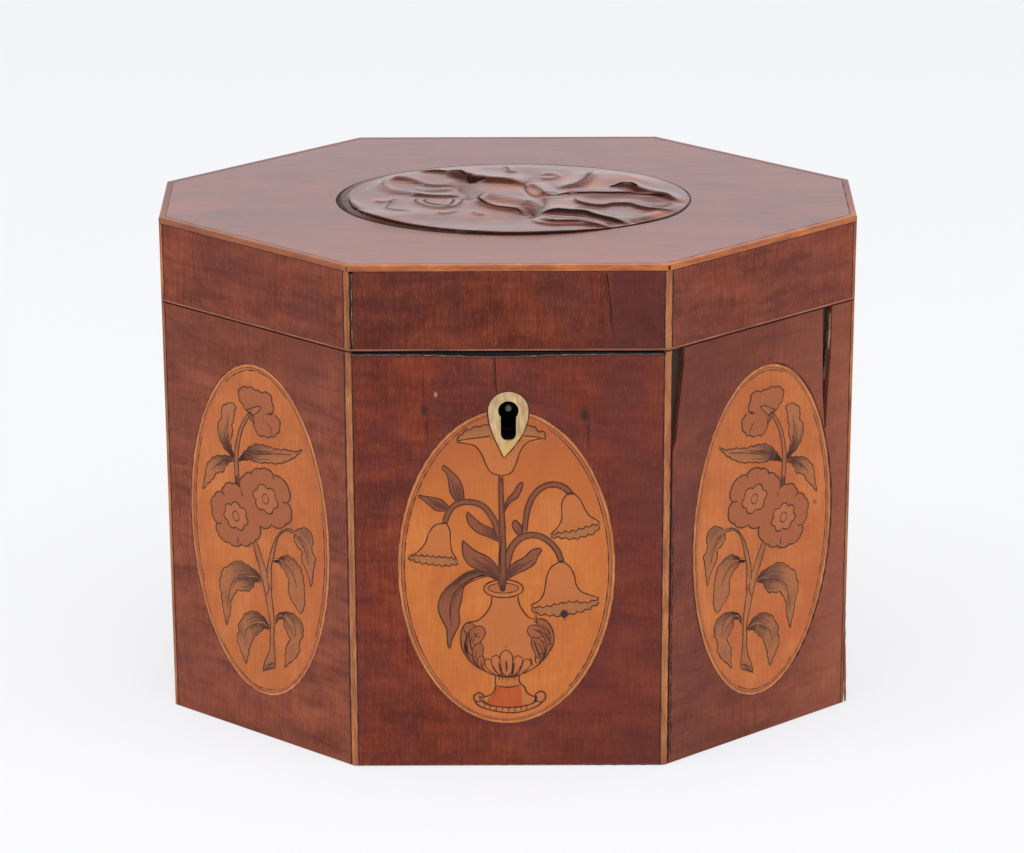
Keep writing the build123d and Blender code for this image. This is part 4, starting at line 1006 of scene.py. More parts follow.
front.cuts_through([(-0.7, 21.9), (-0.7, 20.2)], [(-0.4, 8.5), (-0.9, 3), (-0.7, -2)], width=0.4)

# The urn's foot with its scrolls and beads, and the waist.
urn_shade = scorch((0.3, 0.5, 0.3, 0.5, 0.05))
front.piece(
    [(-2.0, -28.6), (-2.4, -30), (-3.6, -31.1), (-4.8, -31.4), (-5.4, -32.3), (-4.8, -33.4)],
    [(3.6, -28.2), (4.4, -28.9), (4.9, -30.2), (6.0, -31.1), (7.2, -31.5), (6.6, -33.2)],
    "bell", urn_shade
)
front.piece(
    [(-1.9, -28.8), (-2.2, -30), (-3.2, -31.2), (-3.9, -32.4), (-3.2, -33.6)],
    [(3.5, -28.6), (3.7, -29.8), (3.9, -31), (4.0, -32.2), (4.0, -33.7)],
    "foot", scorch((0.1, 0.0, 0.8, 0.15, 0.35)), edge=0
)
front.piece(
    [
        (-6.7, -31.4), (-5.5, -32.2), (-4.6, -32.9), (-3.4, -33.4), (-1.5, -33.8), (1, -34.0),
        (4, -33.7), (6, -33.1), (7.4, -32.2), (8.7, -31.0)
    ],
    [
        (-6.9, -31.6), (-6.3, -33.1), (-4.5, -34.2), (-2, -34.9), (1, -35.3), (4, -35), (6.2, -34.2),
        (7.7, -33.4), (8.6, -32.4), (9.0, -31.3)
    ],
    "bell", scorch((0.0, 0.5, 0.1, 1, 0.3), (1.0, 0.5, 0.1, 1, 0.3)), edge=0.34
)
front.rose(
    [(-6.9, -31.6), (-6.4, -30.7), (-5.4, -30.5), (-4.9, -31.2), (-5.3, -32.1), (-6.3, -32.4)],
    "bell", 0.2, 0.32
)
front.rose(
    [(6.9, -31.4), (7.4, -30.4), (8.5, -30.2), (9.1, -31.2), (8.5, -32.4), (7.5, -32.5)],
    "bell", 0.2, 0.32
)
front.cuts_through(
    [(-5.9, -31.1), (-5.4, -31.4), (-5.8, -31.9)], [(7.2, -31.0), (7.0, -32.0), (6.4, -33.0)],
    [(-4.9, -32.2), (-4.1, -33.0), (-3.2, -33.4)], width=0.5
)
foot_beads = (
    (-4.5, -33.0), (-3.3, -33.4), (-1.9, -33.8), (-0.5, -33.9), (0.9, -34.0), (2.3, -33.9),
    (3.7, -33.7), (5.0, -33.4)
)
bead_cuts = [[(x + 0.3, y), (x - 0.1, y - 0.6), (x + 0.05, y - 1.1)] for x, y in foot_beads]
front.cuts_through(*bead_cuts, width=0.24)
front.piece(
    [(-2.0, -25.9), (-2.15, -27.4), (-2.0, -28.6)], [(3.4, -25.9), (3.2, -27.2), (3.6, -28.2)], "bell",
    scorch((0.0, 0.5, 0.35, 0.8, 0.3))
)
front.cuts_through([(-2.0, -28.5), (0.5, -29.0), (3.5, -28.4)], width=0.32)
# Its body, the acanthus leaves at both shoulders, and the gadroons below.
front.piece(
    [
        (-2.8, -6.4), (-3.0, -8.7), (-4.2, -10.9), (-6.2, -12.7), (-8.4, -13.1), (-9.5, -14.7),
        (-9.8, -17.2), (-9.4, -19.7), (-8.5, -21.5), (-6.5, -23.7), (-4.5, -24.9), (-2.2, -26),
        (0.5, -26.4)
    ],
    [
        (3, -6.4), (3.2, -8.2), (4.3, -10.5), (6, -12.2), (7.4, -12.2), (8.5, -12.2), (10, -13.5),
        (10.9, -15.7), (11, -17.9), (10.2, -19.9), (8.7, -22.2), (7, -23.9), (4.5, -25.4), (0.5, -26.4)
    ],
    "bell", urn_shade
)
acanthus = scorch((0.1, 0.2, 0.3, 0.4, 0.3), (0.85, 0.5, 0.3, 0.5, 0.45))
front.piece(
    [
        (-7.2, -13.2), (-8.4, -13.2), (-9.45, -14.7), (-9.75, -17.2), (-9.35, -19.7), (-8.5, -21.4),
        (-6.6, -23.5)
    ],
    [
        (-7.2, -13.2), (-6.4, -14.2), (-7.6, -15.2), (-8.2, -17.2), (-8.0, -19.2), (-7.2, -21.6),
        (-6.6, -23.5)
    ],
    "petal", acanthus, edge=0.22
)
front.piece(
    [(-8.4, -18.0), (-8.2, -15.7), (-6.7, -14.1), (-5.2, -13.9), (-4.3, -15.1), (-4.6, -16.7)],
    [(-8.4, -18.0), (-8.0, -20.4), (-7.2, -21.2), (-6.4, -20.2), (-5.6, -18.1), (-4.6, -16.7)],
    "petal", scorch((0.25, 0.05, 0.3, 0.3, 0.5)), edge=0.26
)
front.piece(
    [(-7.3, -20.4), (-6.6, -18.5), (-5.3, -18.1), (-4.6, -19.4)],
    [(-7.3, -20.4), (-6.9, -22.6), (-5.6, -22.4), (-5.0, -21.2), (-4.6, -19.4)],
    "petal", acanthus, edge=0.24
)
front.piece(
    [(-6.1, -23.3), (-5.8, -21.5), (-5, -21.2), (-4.4, -22.2)],
    [(-6.1, -23.3), (-5.4, -24.2), (-4.7, -23.6), (-4.4, -22.2)],
    "petal", acanthus, edge=0.24
)
front.piece(
    [
        (7.2, -12.3), (8.5, -12.3), (9.95, -13.5), (10.85, -15.7), (10.95, -17.9), (10.1, -19.9),
        (8.6, -22.2), (7.6, -23.2)
    ],
    [
        (7.2, -12.3), (7.6, -13.6), (8.8, -14.7), (9.6, -16.4), (9.5, -18.6), (8.8, -20.4),
        (8.0, -22.0), (7.6, -23.2)
    ],
    "petal", acanthus, edge=0.22
)
front.piece(
    [(10.4, -18.6), (9.8, -16.8), (8.8, -14.8), (7.3, -13.8), (5.6, -13.9), (5, -15.1)],
    [(10.4, -18.6), (9.4, -18.2), (8.6, -16.6), (7.5, -16.8), (5.8, -16.5), (5, -15.1)],
    "petal", scorch((0.15, 0.5, 0.3, 0.6, 0.5)), edge=0.26
)
front.piece(
    [(9.2, -20.8), (8.8, -19.0), (7.8, -17.2), (6.2, -16.8), (5.9, -18.4)],
    [(9.2, -20.8), (8.2, -20.6), (7.6, -21.9), (6.6, -20.3), (5.9, -18.4)],
    "petal", acanthus, edge=0.24
)
front.cuts_through(
    [(-8.9, -17.5), (-8.7, -20.0), (-7.8, -22.2)], [(-7.2, -16.2), (-7.7, -18.6), (-7.0, -20.8)],
    [(-5.8, -15.4), (-6.8, -16.8), (-7.2, -18.2)], [(-6.4, -19.8), (-6.5, -21.3), (-6.0, -22.4)],
    [(7.4, -14.6), (8.9, -15.8), (9.8, -17.4)], [(9.4, -14.6), (10.2, -16.6), (10.2, -18.4)],
    [(7.3, -17.9), (8.2, -19.2), (8.7, -20.8)], [(6.9, -18.4), (7.4, -20.2), (8.0, -21.8)],
    [(7.0, -10.7), (7.1, -12.4), (7.2, -13.8)], [(6.6, -12.6), (7.2, -13.2)], width=0.24
)
front.cuts_through(
    [(-8.6, -16.6), (-8.9, -19.2), (-8.1, -21.4)], [(9.4, -19.4), (8.9, -21.2), (8.0, -22.8)], width=0.4
)
gadroons = (
    [(-4.3, -23.9), (-4.4, -22.4), (-3.8, -21.9), (-3.1, -22.3)],
    [(-3.0, -23.0), (-2.7, -21.5), (-1.8, -21.1), (-1.0, -21.9)],
    [(5.6, -24.0), (5.8, -22.6), (5.0, -22.0), (4.2, -22.5)],
    [(3.8, -23.4), (4.0, -22.0), (3.0, -21.2), (1.9, -22.0)],
)
for head in gadroons:
    start, end = head[0], head[-1]
    root = 0.5 + (start[0] + end[0] - 1.0) * 0.28
    side = [start, ((start[0] + root) / 2, -25.2), (root + 0.3, -26.1), end]
    front.piece(head, side, "bell", scorch((0.8, 0.8, 0.4, 0.3, 0.4)), edge=0.24)
front.piece(
    [(-1.0, -22.9), (-0.95, -20.9), (0.3, -19.85), (1.6, -20.9), (1.8, -22.7)],
    [(-1.0, -22.9), (-0.3, -25.6), (0.5, -26.3), (1.3, -25.6), (1.8, -22.7)],
    "bell", scorch((0.3, 0.6, 0.5, 0.3, 0.25)), edge=0.26
)
front.cuts_through(
    [(0.3, -22.4), (0.4, -23.6), (0.4, -25.2)], [(-1.4, -22.8), (-1.0, -24.6), (-0.6, -26.2)],
    [(2.2, -22.9), (1.9, -24.6), (1.7, -26.2)], width=0.42
)
waist_hatch = [
    [(x, -25.6 - 0.1 * x % 0.3), (x + 0.1, -27.1 + 0.3 * math.sin(5 * x))]
    for x in (-1.3, -0.6, 0.1, 0.8, 1.5, 2.2)
]
front.cuts_through(
    [(-2.6, -23.6), (-1.8, -25.2), (-1.1, -26.2)], [(3.4, -24.0), (2.9, -25.2), (2.5, -26.1)],
    *waist_hatch
)
# Its lower rim, the mouth with the stem's end, and the last cuts.
front.cuts_through([(-2.2, -26.0), (0, -26.4), (2, -26.35), (3.6, -26.0)], width=0.3)
front.cuts_through([(0.3, -19.3), (0.35, -18.4)], width=0.18)
rim = oval_line((-0.2, -4.8), 4.36, 2.15, 0, 0, 360)
mouth = oval_line((-0.25, -4.65), 3.4, 1.2, 0, 0, 360)
front.lay(np.stack([np.full_like(rim, rim.mean(axis=0)), rim]), np.zeros((2, len(rim))), "bell")
front.cut(rim, 0.3, 0.005)
front.lay(np.stack([np.full_like(mouth, mouth.mean(axis=0)), mouth]), np.full((2, len(mouth)), 0.3), "bell")
front.cut(mouth, 0.24, 0.005)
front.stalk([(-0.5, -2.2), (-0.5, -3.4), (-0.4, -5.4)], 2.2, 0.7, "leaf", 0.4)
front.cuts_through([(-0.4, -3.6), (-0.35, -4.6), (-0.35, -5.5)], width=0.9)
front.cuts_through(
    [(-13.8, 11.1), (-12.5, 11.1)], [(13.9, 18.1), (15.5, 18.1)], [(12.0, 1.7), (13.4, 1.7)], width=0.5
)
front.cuts_through(
    [(-9.3, -14.4), (-8.6, -15.8), (-8.7, -18.2), (-8.2, -20.6)],
    [(-7.9, -15.2), (-7.9, -17.4), (-7.2, -19.8)], [(-6.9, -15.6), (-6.2, -16.4), (-5.4, -16.6)],
    [(-7.0, -21.0), (-6.6, -22.8), (-5.6, -24.2)], [(-5.2, -22.6), (-5.2, -23.8), (-4.4, -24.7)],
    [(8.0, -13.4), (9.6, -14.8), (10.4, -16.8)], [(6.2, -14.6), (7.8, -15.4), (9.0, -17.0)],
    [(8.2, -17.0), (9.1, -18.6), (9.3, -20.4)], [(6.6, -17.4), (7.2, -19.4), (7.9, -21.0)],
    [(5.8, -21.6), (6.0, -22.8), (6.4, -23.8)], [(6.9, -21.0), (6.9, -22.4), (7.2, -23.2)], width=0.3
)
front.finish("front", "case")


# Canted motif
# A flowering stem with two roses: one packet of veneers sawn together, so the right oval is the
# left one turned over, and laid in about two degrees askew.
def flowering_stem(inlay):
    """Lay the pieces of the stem, from the leaves at its foot to the flower at its top."""
    soft = "soft_leaf"
    # Four large leaves, the upper pair first.
    inlay.leaf(
        [
            (0.2, -12.1), (-0.6, -10.4), (-1.8, -9.8), (-3.6, -9.3), (-5.9, -8.8), (-8.4, -9.7),
            (-9.9, -11), (-11.4, -12.1), (-12.0, -13.8), (-12.6, -16.3), (-12, -18.8), (-11.7, -21.8),
            (-11.2, -24.3), (-10.9, -26.1)
        ],
        [
            (0.2, -12.2), (-1.2, -12.3), (-2.0, -12.9), (-2.6, -14), (-3.6, -15.3), (-5.4, -15.8),
            (-7.4, -16.3), (-8.4, -17.8), (-9.4, -19.8), (-9.5, -21.8), (-10.2, -24.3), (-10.8, -26.1)
        ],
        soft,
        scorch(
            (0.26, 0.15, 0.12, 0.3, 0.75), (0.22, 0.85, 0.13, 0.4, 0.9), (0.33, 0.5, 0.14, 0.16, 0.6),
            (0.7, 0.75, 0.1, 0.5, 0.6), (1.0, 0.5, 0.12, 1, 0.6)
        ),
        [
            (0.4, -12.2), (-2.4, -12.1), (-5.4, -12.6), (-7.9, -13.8), (-9.3, -15.8), (-9.9, -18.3),
            (-10.3, -20.8)
        ],
        ((0.08, 0.45, 6, 0.36), (0.6, 0.95, 5, 0.34)), jag=0.3
    )
    inlay.leaf(
        [
            (3.4, -6.1), (5.3, -5.5), (6.6, -4.3), (8.9, -3.7), (10.3, -4.5), (11.9, -5.9),
            (12.4, -7.8), (12.8, -10.3), (12.8, -12.5), (12.6, -15.3), (11.6, -17.1)
        ],
        [
            (3.4, -6.3), (5.4, -6.2), (7.2, -7.8), (8.4, -9.8), (8.2, -11.8), (8.8, -14), (10.1, -15.5),
            (11.3, -17.1)
        ],
        soft,
        scorch((0.3, 0.1, 0.15, 0.35, 0.45), (0.3, 0.9, 0.12, 0.3, 0.4), (0.75, 0.5, 0.2, 0.6, 0.15)),
        [(3.6, -6.0), (5.6, -5.6), (7.6, -6.1), (9.2, -7.5), (10.2, -9.3), (10.6, -10.8)],
        ((0.1, 0.4, 5, 0.4), (0.62, 0.85, 3, 0.4)), jag=0.3
    )
    inlay.leaf(
        [
            (2.5, -23.3), (1.4, -21.6), (0.2, -20.7), (-1.9, -20.2), (-4.2, -21), (-5.5, -22.2),
            (-6.2, -23.6), (-7.2, -24.7), (-7.1, -26.5), (-7.6, -28), (-7, -30.3), (-6, -32.5),
            (-5.3, -34.1)
        ],
        [
            (2.5, -23.5), (1.2, -23.4), (0.1, -23.9), (-0.9, -25), (-2.4, -26.3), (-3.4, -28.3),
            (-4.2, -30.3), (-4.6, -32.3), (-5.1, -34.1)
        ],
        soft,
        scorch(
            (0.25, 0.2, 0.15, 0.3, 0.85), (0.35, 0.8, 0.15, 0.3, 0.7), (0.6, 0.15, 0.08, 0.3, 0.8),
            (0.65, 0.7, 0.1, 0.3, 0.4), (1.0, 0.5, 0.12, 1, 0.5)
        ),
        [(2.6, -23.6), (0.8, -22.9), (-1.4, -23), (-3.4, -24), (-4.9, -25.6), (-5.4, -27.5)],
        ((0.08, 0.42, 6, 0.4), (0.62, 0.9, 4, 0.4)), jag=0.3
    )
    inlay.leaf(
        [
            (3.9, -20.9), (4.8, -19), (6.4, -18.1), (8.9, -17.6), (10.5, -18.1), (11.9, -19.4),
            (12.0, -22.3), (11, -24.3), (10.9, -26.3), (9.6, -28.6), (7.6, -30.6), (6.5, -31.9)
        ],
        [
            (4.0, -21.8), (4.9, -20.2), (6.3, -19.7), (6.7, -21.6), (7.9, -23.3), (8.3, -24.5),
            (7.4, -25.8), (6.9, -27.8), (6.8, -29.8), (6.4, -31.8)
        ],
        soft,
        scorch((0.35, 0.15, 0.15, 0.4, 0.5), (0.4, 0.85, 0.1, 0.25, 0.4), (0.75, 0.5, 0.12, 0.5, 0.4)),
        [(5.1, -19.5), (7.1, -18.7), (8.9, -19.3), (9.8, -21.3), (10, -23.3)],
        ((0.1, 0.3, 3, 0.5), (0.7, 0.9, 3, 0.5)), jag=0.3
    )
    # The stem, its branch to the right, and the leaf that hangs from it.
    inlay.piece(
        [
            (-0.2, -34.7), (0.6, -31.8), (1.6, -29.8), (2.2, -27.5), (2.3, -24.8), (2.5, -22.8),
            (1.8, -18.3), (1.2, -14.8), (0.3, -11.3), (-0.9, -7.3), (-1.9, -4.2), (-2.2, -2.8)
        ],
        [
            (3.6, -32.8), (3.7, -31.0), (3.6, -28.8), (3.5, -26.6), (3.5, -24.8), (3.6, -21.8),
            (3.5, -18.8), (3.2, -15.8), (2.6, -11.8), (1.4, -8.4), (0.1, -5.2), (-1.1, -2.4)
        ],
        "soft_stem",
        scorch((0.0, 0.5, 0.07, 0.8, 0.9), (0.2, 0.8, 0.1, 0.4, 0.4), (0.9, 0.2, 0.1, 0.4, 0.5))
    )
    inlay.cuts_through(
        [(-0.2, -34.6), (1.2, -33.6), (3.6, -32.8)], [(0.8, -33.2), (2.0, -32.2), (3.5, -31.6)],
        [(1.4, -15.4), (2.3, -13.2), (2.0, -10.4)], width=0.34
    )
    inlay.piece(
        [
            (1.9, -11.2), (1.9, -9.3), (2.6, -5.8), (3.6, -2.8), (5.1, 0.2), (6.6, 2), (8.6, 3),
            (10.8, 2.9)
        ],
        [
            (3.2, -13.4), (3.2, -10.8), (3.4, -6.8), (4.1, -4.8), (4.8, -1.8), (6.1, 1), (8.1, 2.4),
            (10.6, 2.2)
        ],
        "soft_stem", scorch((0.7, 0.5, 0.4, 0.8, 0.3))
    )
    inlay.leaf(
        [
            (10.2, 2.3), (10.4, 0.4), (11.6, -0.8), (12.4, -1.5), (12.3, -3.3), (13.0, -4.8),
            (14.1, -6.8), (14.8, -9.7)
        ],
        [
            (10.4, 2.8), (12.1, 4), (13.9, 4.4), (15.4, 3.2), (15.6, 1.2), (15.2, -0.5), (16.3, -2.3),
            (15.8, -4.3), (15.4, -6.8), (15, -9.7)
        ],
        soft,
        scorch((0.22, 0.75, 0.16, 0.3, 0.9), (0.55, 0.6, 0.2, 0.3, 0.3)),
        [(11.3, 1.8), (12.6, 0.5), (13.6, -1.8), (14.2, -4.6)], ((0.2, 0.4, 3, 0.4),), jag=0.3
    )
    # Three leaves above the roses, and the stalk of the top flower.
    inlay.leaf(
        [
            (-6.9, 16.3), (-8.6, 17.2), (-9.9, 18.2), (-11.2, 20.2), (-11.6, 23.2), (-10.4, 25.4),
            (-10.2, 27.7), (-8.9, 29), (-7.0, 29.8)
        ],
        [
            (-6.9, 16.5), (-7.6, 18.0), (-8.1, 20.2), (-7.4, 22.2), (-7.4, 24.5), (-6.8, 26.2),
            (-6.7, 27.5), (-6.1, 28.8), (-6.9, 29.8)
        ],
        soft, scorch((0.25, 0.4, 0.2, 0.6, 0.8)), [(-8.4, 17.6), (-8.9, 22.2), (-8.4, 26.7)],
        ((0.12, 0.85, 8, 0.45),), jag=0.3
    )
    inlay.leaf(
        [
            (-6.8, 16.4), (-8.2, 16.5), (-9.9, 16.1), (-12.4, 15.5), (-14.2, 14), (-15.4, 12.2),
            (-15.9, 9.7), (-16.9, 6.4)
        ],
        [
            (-6.8, 15.6), (-8.0, 15.3), (-9.4, 14.2), (-10.6, 12.2), (-12.4, 11.5), (-13.6, 9.7),
            (-15.4, 8), (-16.7, 6.3)
        ],
        soft, scorch((0.25, 0.4, 0.2, 0.5, 0.85)), [(-8.2, 16), (-11.2, 14.3), (-13.9, 11.8)],
        ((0.1, 0.8, 6, 0.45),), jag=0.3
    )
    inlay.leaf(
        [
            (-6.0, 15.9), (-4.8, 17.4), (-3.4, 19), (-1.9, 20.4), (0.1, 21.3), (2.6, 21.5), (5.6, 21.4),
            (8.6, 22), (11.1, 22.2), (13.2, 23.4)
        ],
        [
            (-6.0, 15.6), (-4.8, 16.3), (-2.9, 17), (0.6, 17.1), (3.1, 17.7), (6.1, 18.2), (8.6, 19.4),
            (10.6, 20.7), (13.3, 23.1)
        ],
        soft,
        scorch((0.28, 0.35, 0.2, 0.4, 0.95), (0.12, 0.5, 0.12, 0.6, 0.5), (0.75, 0.4, 0.2, 0.3, 0.25)),
        [(-4.9, 16.8), (-1.4, 18.8), (2.6, 19.7), (7.6, 20.8), (10.1, 21.2)],
        ((0.1, 0.4, 4, 0.5), (0.55, 0.9, 5, 0.45)), jag=0.3
    )
    inlay.stalk(
        [(-6.1, 8.7), (-6.4, 14.2), (-6.4, 17), (-5.8, 20.5), (-4.6, 24.2), (-2.3, 28.0)],
        1.3, 0.75, "soft_stem", 0.25
    )
    inlay.cuts_through([(-6.0, 9.4), (-6.2, 12.6)], [(-6.5, 9.6), (-6.7, 12.0)], width=0.5)
    # Two roses with a ring of small petals and a heart each.
    inlay.rose(
        [
            (-5.2, 8.8), (-4.1, 12.8), (-1.9, 13.8), (0.5, 15.4), (4.6, 14.9), (9.0, 12.4), (8.2, 9.2),
            (9.5, 6.8), (7.8, 4.0), (3.5, 2.8), (0.0, 1.6)
        ],
        "petal", closed=False
    )
    inlay.rose(
        [
            (-5.3, 9.2), (-7.8, 9.9), (-10.2, 8.6), (-10.8, 7.0), (-13.2, 5.6), (-14.0, 2.2),
            (-12.6, -0.9), (-12.6, -3.2), (-9.2, -4.8), (-5.6, -4.3), (-2.7, -3.3), (-1.4, -2.3),
            (0.0, 1.6)
        ],
        "petal", closed=False
    )
    for x, y, petals, first in ((2.0, 8.6, 6, 20), (-7.0, 2.2, 7, 64)):
        turns = np.radians(first + np.arange(petals) * 360 / petals)
        ring = [(x + 3.0 * math.cos(turn), y + 2.6 * math.sin(turn)) for turn in turns]
        inlay.rose(ring, "heart", edge=0.34, bulge=0.42)
        inlay.rose([(x - 0.9, y), (x, y + 1.2), (x + 0.9, y), (x, y - 1.2)], "heart", 0.3, 0.24)
    inlay.cuts_through(
        [(8.2, 9.2), (7.0, 9.1)], [(-12.6, -0.9), (-11.4, -0.8)], [(-6.6, -4.4), (-6.5, -2.6)],
        [(-10.8, 7.0), (-10.2, 6.4)], [(4.6, 14.9), (4.4, 14.0)], [(-5.2, 8.8), (-4.8, 7.6)], width=0.3
    )
    # The top flower: two petals, outlined where they don't overlap, and its sepals.
    upper, under = inlay.piece(
        [
            (-5.3, 31.7), (-4.9, 33.3), (-1.9, 34.5), (1.1, 34.1), (4.2, 34.1), (4.7, 32.2), (5, 30.4),
            (3.4, 29.3)
        ],
        [
            (-5.3, 31.7), (-4.2, 30.2), (-2.6, 28.6), (-0.8, 28.8), (0.6, 28.6), (1.8, 29.2),
            (2.6, 29.3), (3.4, 29.3)
        ],
        "petal", scorch((0.5, 0.9, 0.5, 0.3, 0.15)), edge=0, jag=0.45
    )
    over, lower = inlay.piece(
        [(-2.4, 28.0), (-0.6, 28.8), (1.2, 29.2), (3.1, 29.4), (4.8, 29.7), (6.2, 29.1), (7, 27)],
        [
            (-2.4, 28.0), (-1.5, 26.9), (-0.6, 25.4), (0.1, 24.0), (2.2, 23.8), (4.8, 24.5),
            (6.1, 25.5), (7, 27)
        ],
        "petal", scorch((0.3, 0.3, 0.4, 0.4, 0.15)), edge=0, jag=0.45
    )
    for outline in (upper, under[:19], over[34:], lower):
        inlay.cut(outline, 0.3, 0.02)
    inlay.piece(
        [(-3.0, 28.9), (-1.0, 29.9), (0.6, 30.6), (1.6, 30.7)],
        [(-3.0, 28.9), (-1.2, 28.2), (0.4, 29.2), (1.6, 30.7)], "soft_leaf",
        scorch((0.2, 0.2, 0.3, 0.5, 0.4)), edge=0.3
    )
    inlay.piece(
        [(-2.6, 28.6), (-1.8, 27.2), (-0.7, 26.0)], [(-2.6, 28.6), (-1.0, 27.8), (-0.7, 26.0)],
        "soft_leaf", scorch((0.3, 0.5, 0.3, 0.5, 0.3)), edge=0.28
    )
    inlay.cuts_through(
        [(2.9, 27.4), (4.0, 26.2), (4.6, 24.6)], [(2.9, 29.4), (3.9, 29.4), (4.8, 29.8)],
        [(-2.9, 28.9), (-1.8, 28.5), (-0.6, 27.9)], [(-1.4, 29.5), (-1.6, 28.4), (-1.0, 26.6)],
        width=0.26
    )


left_motif = Inlay(FRONT_LEFT, left_centre, smoke=0.7)
flowering_stem(left_motif)
left_motif.finish("left", "case")
right_motif = Inlay(FRONT_RIGHT, right_centre, flip=-1.0, turn=math.radians(-2.0), shift=-0.9, smoke=0.7)
flowering_stem(right_motif)
right_motif.finish("right", "case")


# Escutcheon
# A kite of bone let into the front round the keyhole: creamy, with fine upright streaks, and
# yellower towards its tip. A dark line of glue runs round it.
bone = timber(
    "bone_scraped", ["#a58660", "#c4a67c", "#dac196"], (0.35, 0.35, 6), (3, 3, 6), 0.36, 0.006, 0.25
)
glaze(bone, bone["axes"][Z], 83 * MM, 76 * MM, 0.75, "#cda352")
glaze(bone, grain(bone, (0.5, 0.5, 2.5), 2.0), 0.55, 0.7, 0.45, "#7d6140")
finish_nodes(bone, "escutcheon")


def bezier(control, count):
    """Points of a cubic Bezier curve through four control points."""
    t = np.linspace(0, 1, count)[:, None]
    a, b, c, d = np.asarray(control, float)
    return (1 - t) ** 3 * a + 3 * t * (1 - t) ** 2 * b + 3 * t**2 * (1 - t) * c + t**3 * d


kite_half = 4.4
eye_height = 86.4
kite_tip = (-1.0, 75.4)
kite_left = bezier([(-kite_half, eye_height), (-kite_half, 82.0), (-2.4, 78.9), kite_tip], 30)
kite_right = bezier([kite_tip, (2.0, 78.9), (kite_half, 82.0), (kite_half, eye_height)], 30)
crown_angle = np.radians(np.linspace(0, 180, 40))
kite_crown = np.stack(
    [kite_half * np.cos(crown_angle), eye_height + kite_half * np.sin(crown_angle)], axis=1
)
kite = np.concatenate([kite_left[:-1], kite_right[:-1], kite_crown])
kite_line = kite - normals(kite) * 0.14
joint_lines("escutcheon_joint", "case", [(FRONT, kite_line, 0.3, 0.5)], mastic, 0.05, 0.15)
# The sides of the keyhole are painted black: painted shade inside it.
eye_radius = 2.22
slot_half = 1.67
slot_foot_height = 81.0
board_depth = 6.5
eye_angle = np.radians(np.linspace(-41, 221, 60))
foot_angle = np.radians(np.linspace(180, 360, 30))
eye_side = np.stack([eye_radius * np.cos(eye_angle), eye_height + eye_radius * np.sin(eye_angle)], axis=1)
slot_foot = np.stack(
    [slot_half * np.cos(foot_angle), slot_foot_height + slot_half * np.sin(foot_angle)], axis=1
)
keyhole_side = np.concatenate([eye_side, slot_foot, eye_side[:1]])
sleeve = np.stack(
    [np.column_stack([keyhole_side, np.full(len(keyhole_side), proud)]) for proud in (0.0, -board_depth)]
)
fix_down(grid_mesh("keyhole_painted_shade", [on_face(FRONT, sleeve)]), painted_shade, "case", 0.03)


# Lock, hinges and screws
# Brass lock plate, case and hinges, with steel in the bolt, pin and spring, all dull with age.
# Each screw of the hinges and of the link plate has a slot sawn across its head, drawn as a flat bar of
# painted shade.
def metal(name, tones, tarnish, roughness, shaded_inside=False):
    """Old metal with cloudy tarnish and dark spots over it. With shaded_inside, the metal is painted black
    below the rim of the case: painted shade inside it."""
    ware = timber(name, tones, (1.5, 1.5, 1.5), (5, 5, 5), roughness, 0.004, 0.5)
    ware["shader"].inputs["Metallic"].default_value = 1.0
    glaze(ware, grain(ware, (2.5, 2.5, 2.5), 4.0), 0.5, 0.7, 0.7, tarnish)
    if shaded_inside:
        glaze(ware, ware["axes"][Z], (rim_height - 1.5) * MM, (rim_height - 4) * MM, 1.0, "#0d0a07")
    return ware


brass = metal("brass_cast_and_filed", ["#8c7040", "#a8894f", "#bfa066"], "#4f3d1f", 0.38)
steel = metal("steel_forged", ["#55524d", "#6a6762", "#7d7a74"], "#3b2c22", 0.45)
finish_nodes(brass, "lock_screws", "hinge_case_leaves", "hinge_lid_leaves", "hinge_case_screws")
finish_nodes(brass, "hinge_lid_screws", "link_plate", "link_screws")
# Behind the keyhole the plate and the lock are painted black below the rim: painted shade inside the case.
brass_shaded_inside = metal("brass_painted_shade_inside", ["#7c6238", "#97794a", "#ad8f5a"], "#4f3d1f", 0.5, shaded_inside=True)
finish_nodes(brass_shaded_inside, "lock_plate", "lock_case")
finish_nodes(steel, "lock_pin", "lock_bolt", "lock_spring", "hinge_pins")


def screw_slots(name, body, heads):
    """Slot across each screw head, a flat bar of painted shade, turned on from head to head."""
    half_length = 1.05
    width_share = 0.15
    grids = []
    for k, head in enumerate(heads):
        turn = 0.6 + 1.1 * k
        run = half_length * np.array([math.cos(turn), math.sin(turn)])
        across = width_share * np.array([-run[1], run[0]])
        bar = np.zeros((2, 2, 3))
        bar[..., :2] = [[-run - across, run - across], [across - run, across + run]]
        grids.append(bar + head)
    return fix_down(grid_mesh(name, grids), painted_shade, body, 0.02)


case_screws = [corner / MM for corner in map(np.array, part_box("hinge_case_screws"))]
lid_screws = [corner / MM for corner in map(np.array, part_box("hinge_lid_screws"))]
link_screws = [corner / MM for corner in map(np.array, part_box("link_screws"))]
case_row, lid_row, link_row = (
    (low[Y] + high[Y]) / 2 for low, high in (case_screws, lid_screws, link_screws)
)
slot_proud = 0.012
hinge_at = 21
screw_step = 5
link_screw_at = 12
hinge_row = [side * hinge_at + step for side in (-1, 1) for step in (-screw_step, screw_step)]
link_pair = (-link_screw_at, link_screw_at)
screw_slots("hinge_case_slots", "case", [(x, case_row, case_screws[1][Z] + slot_proud) for x in hinge_row])
screw_slots("hinge_lid_slots", "lid", [(x, lid_row, lid_screws[0][Z] - slot_proud) for x in hinge_row])
screw_slots("link_slots", "lid", [(x, link_row, link_screws[0][Z] - slot_proud) for x in link_pair])


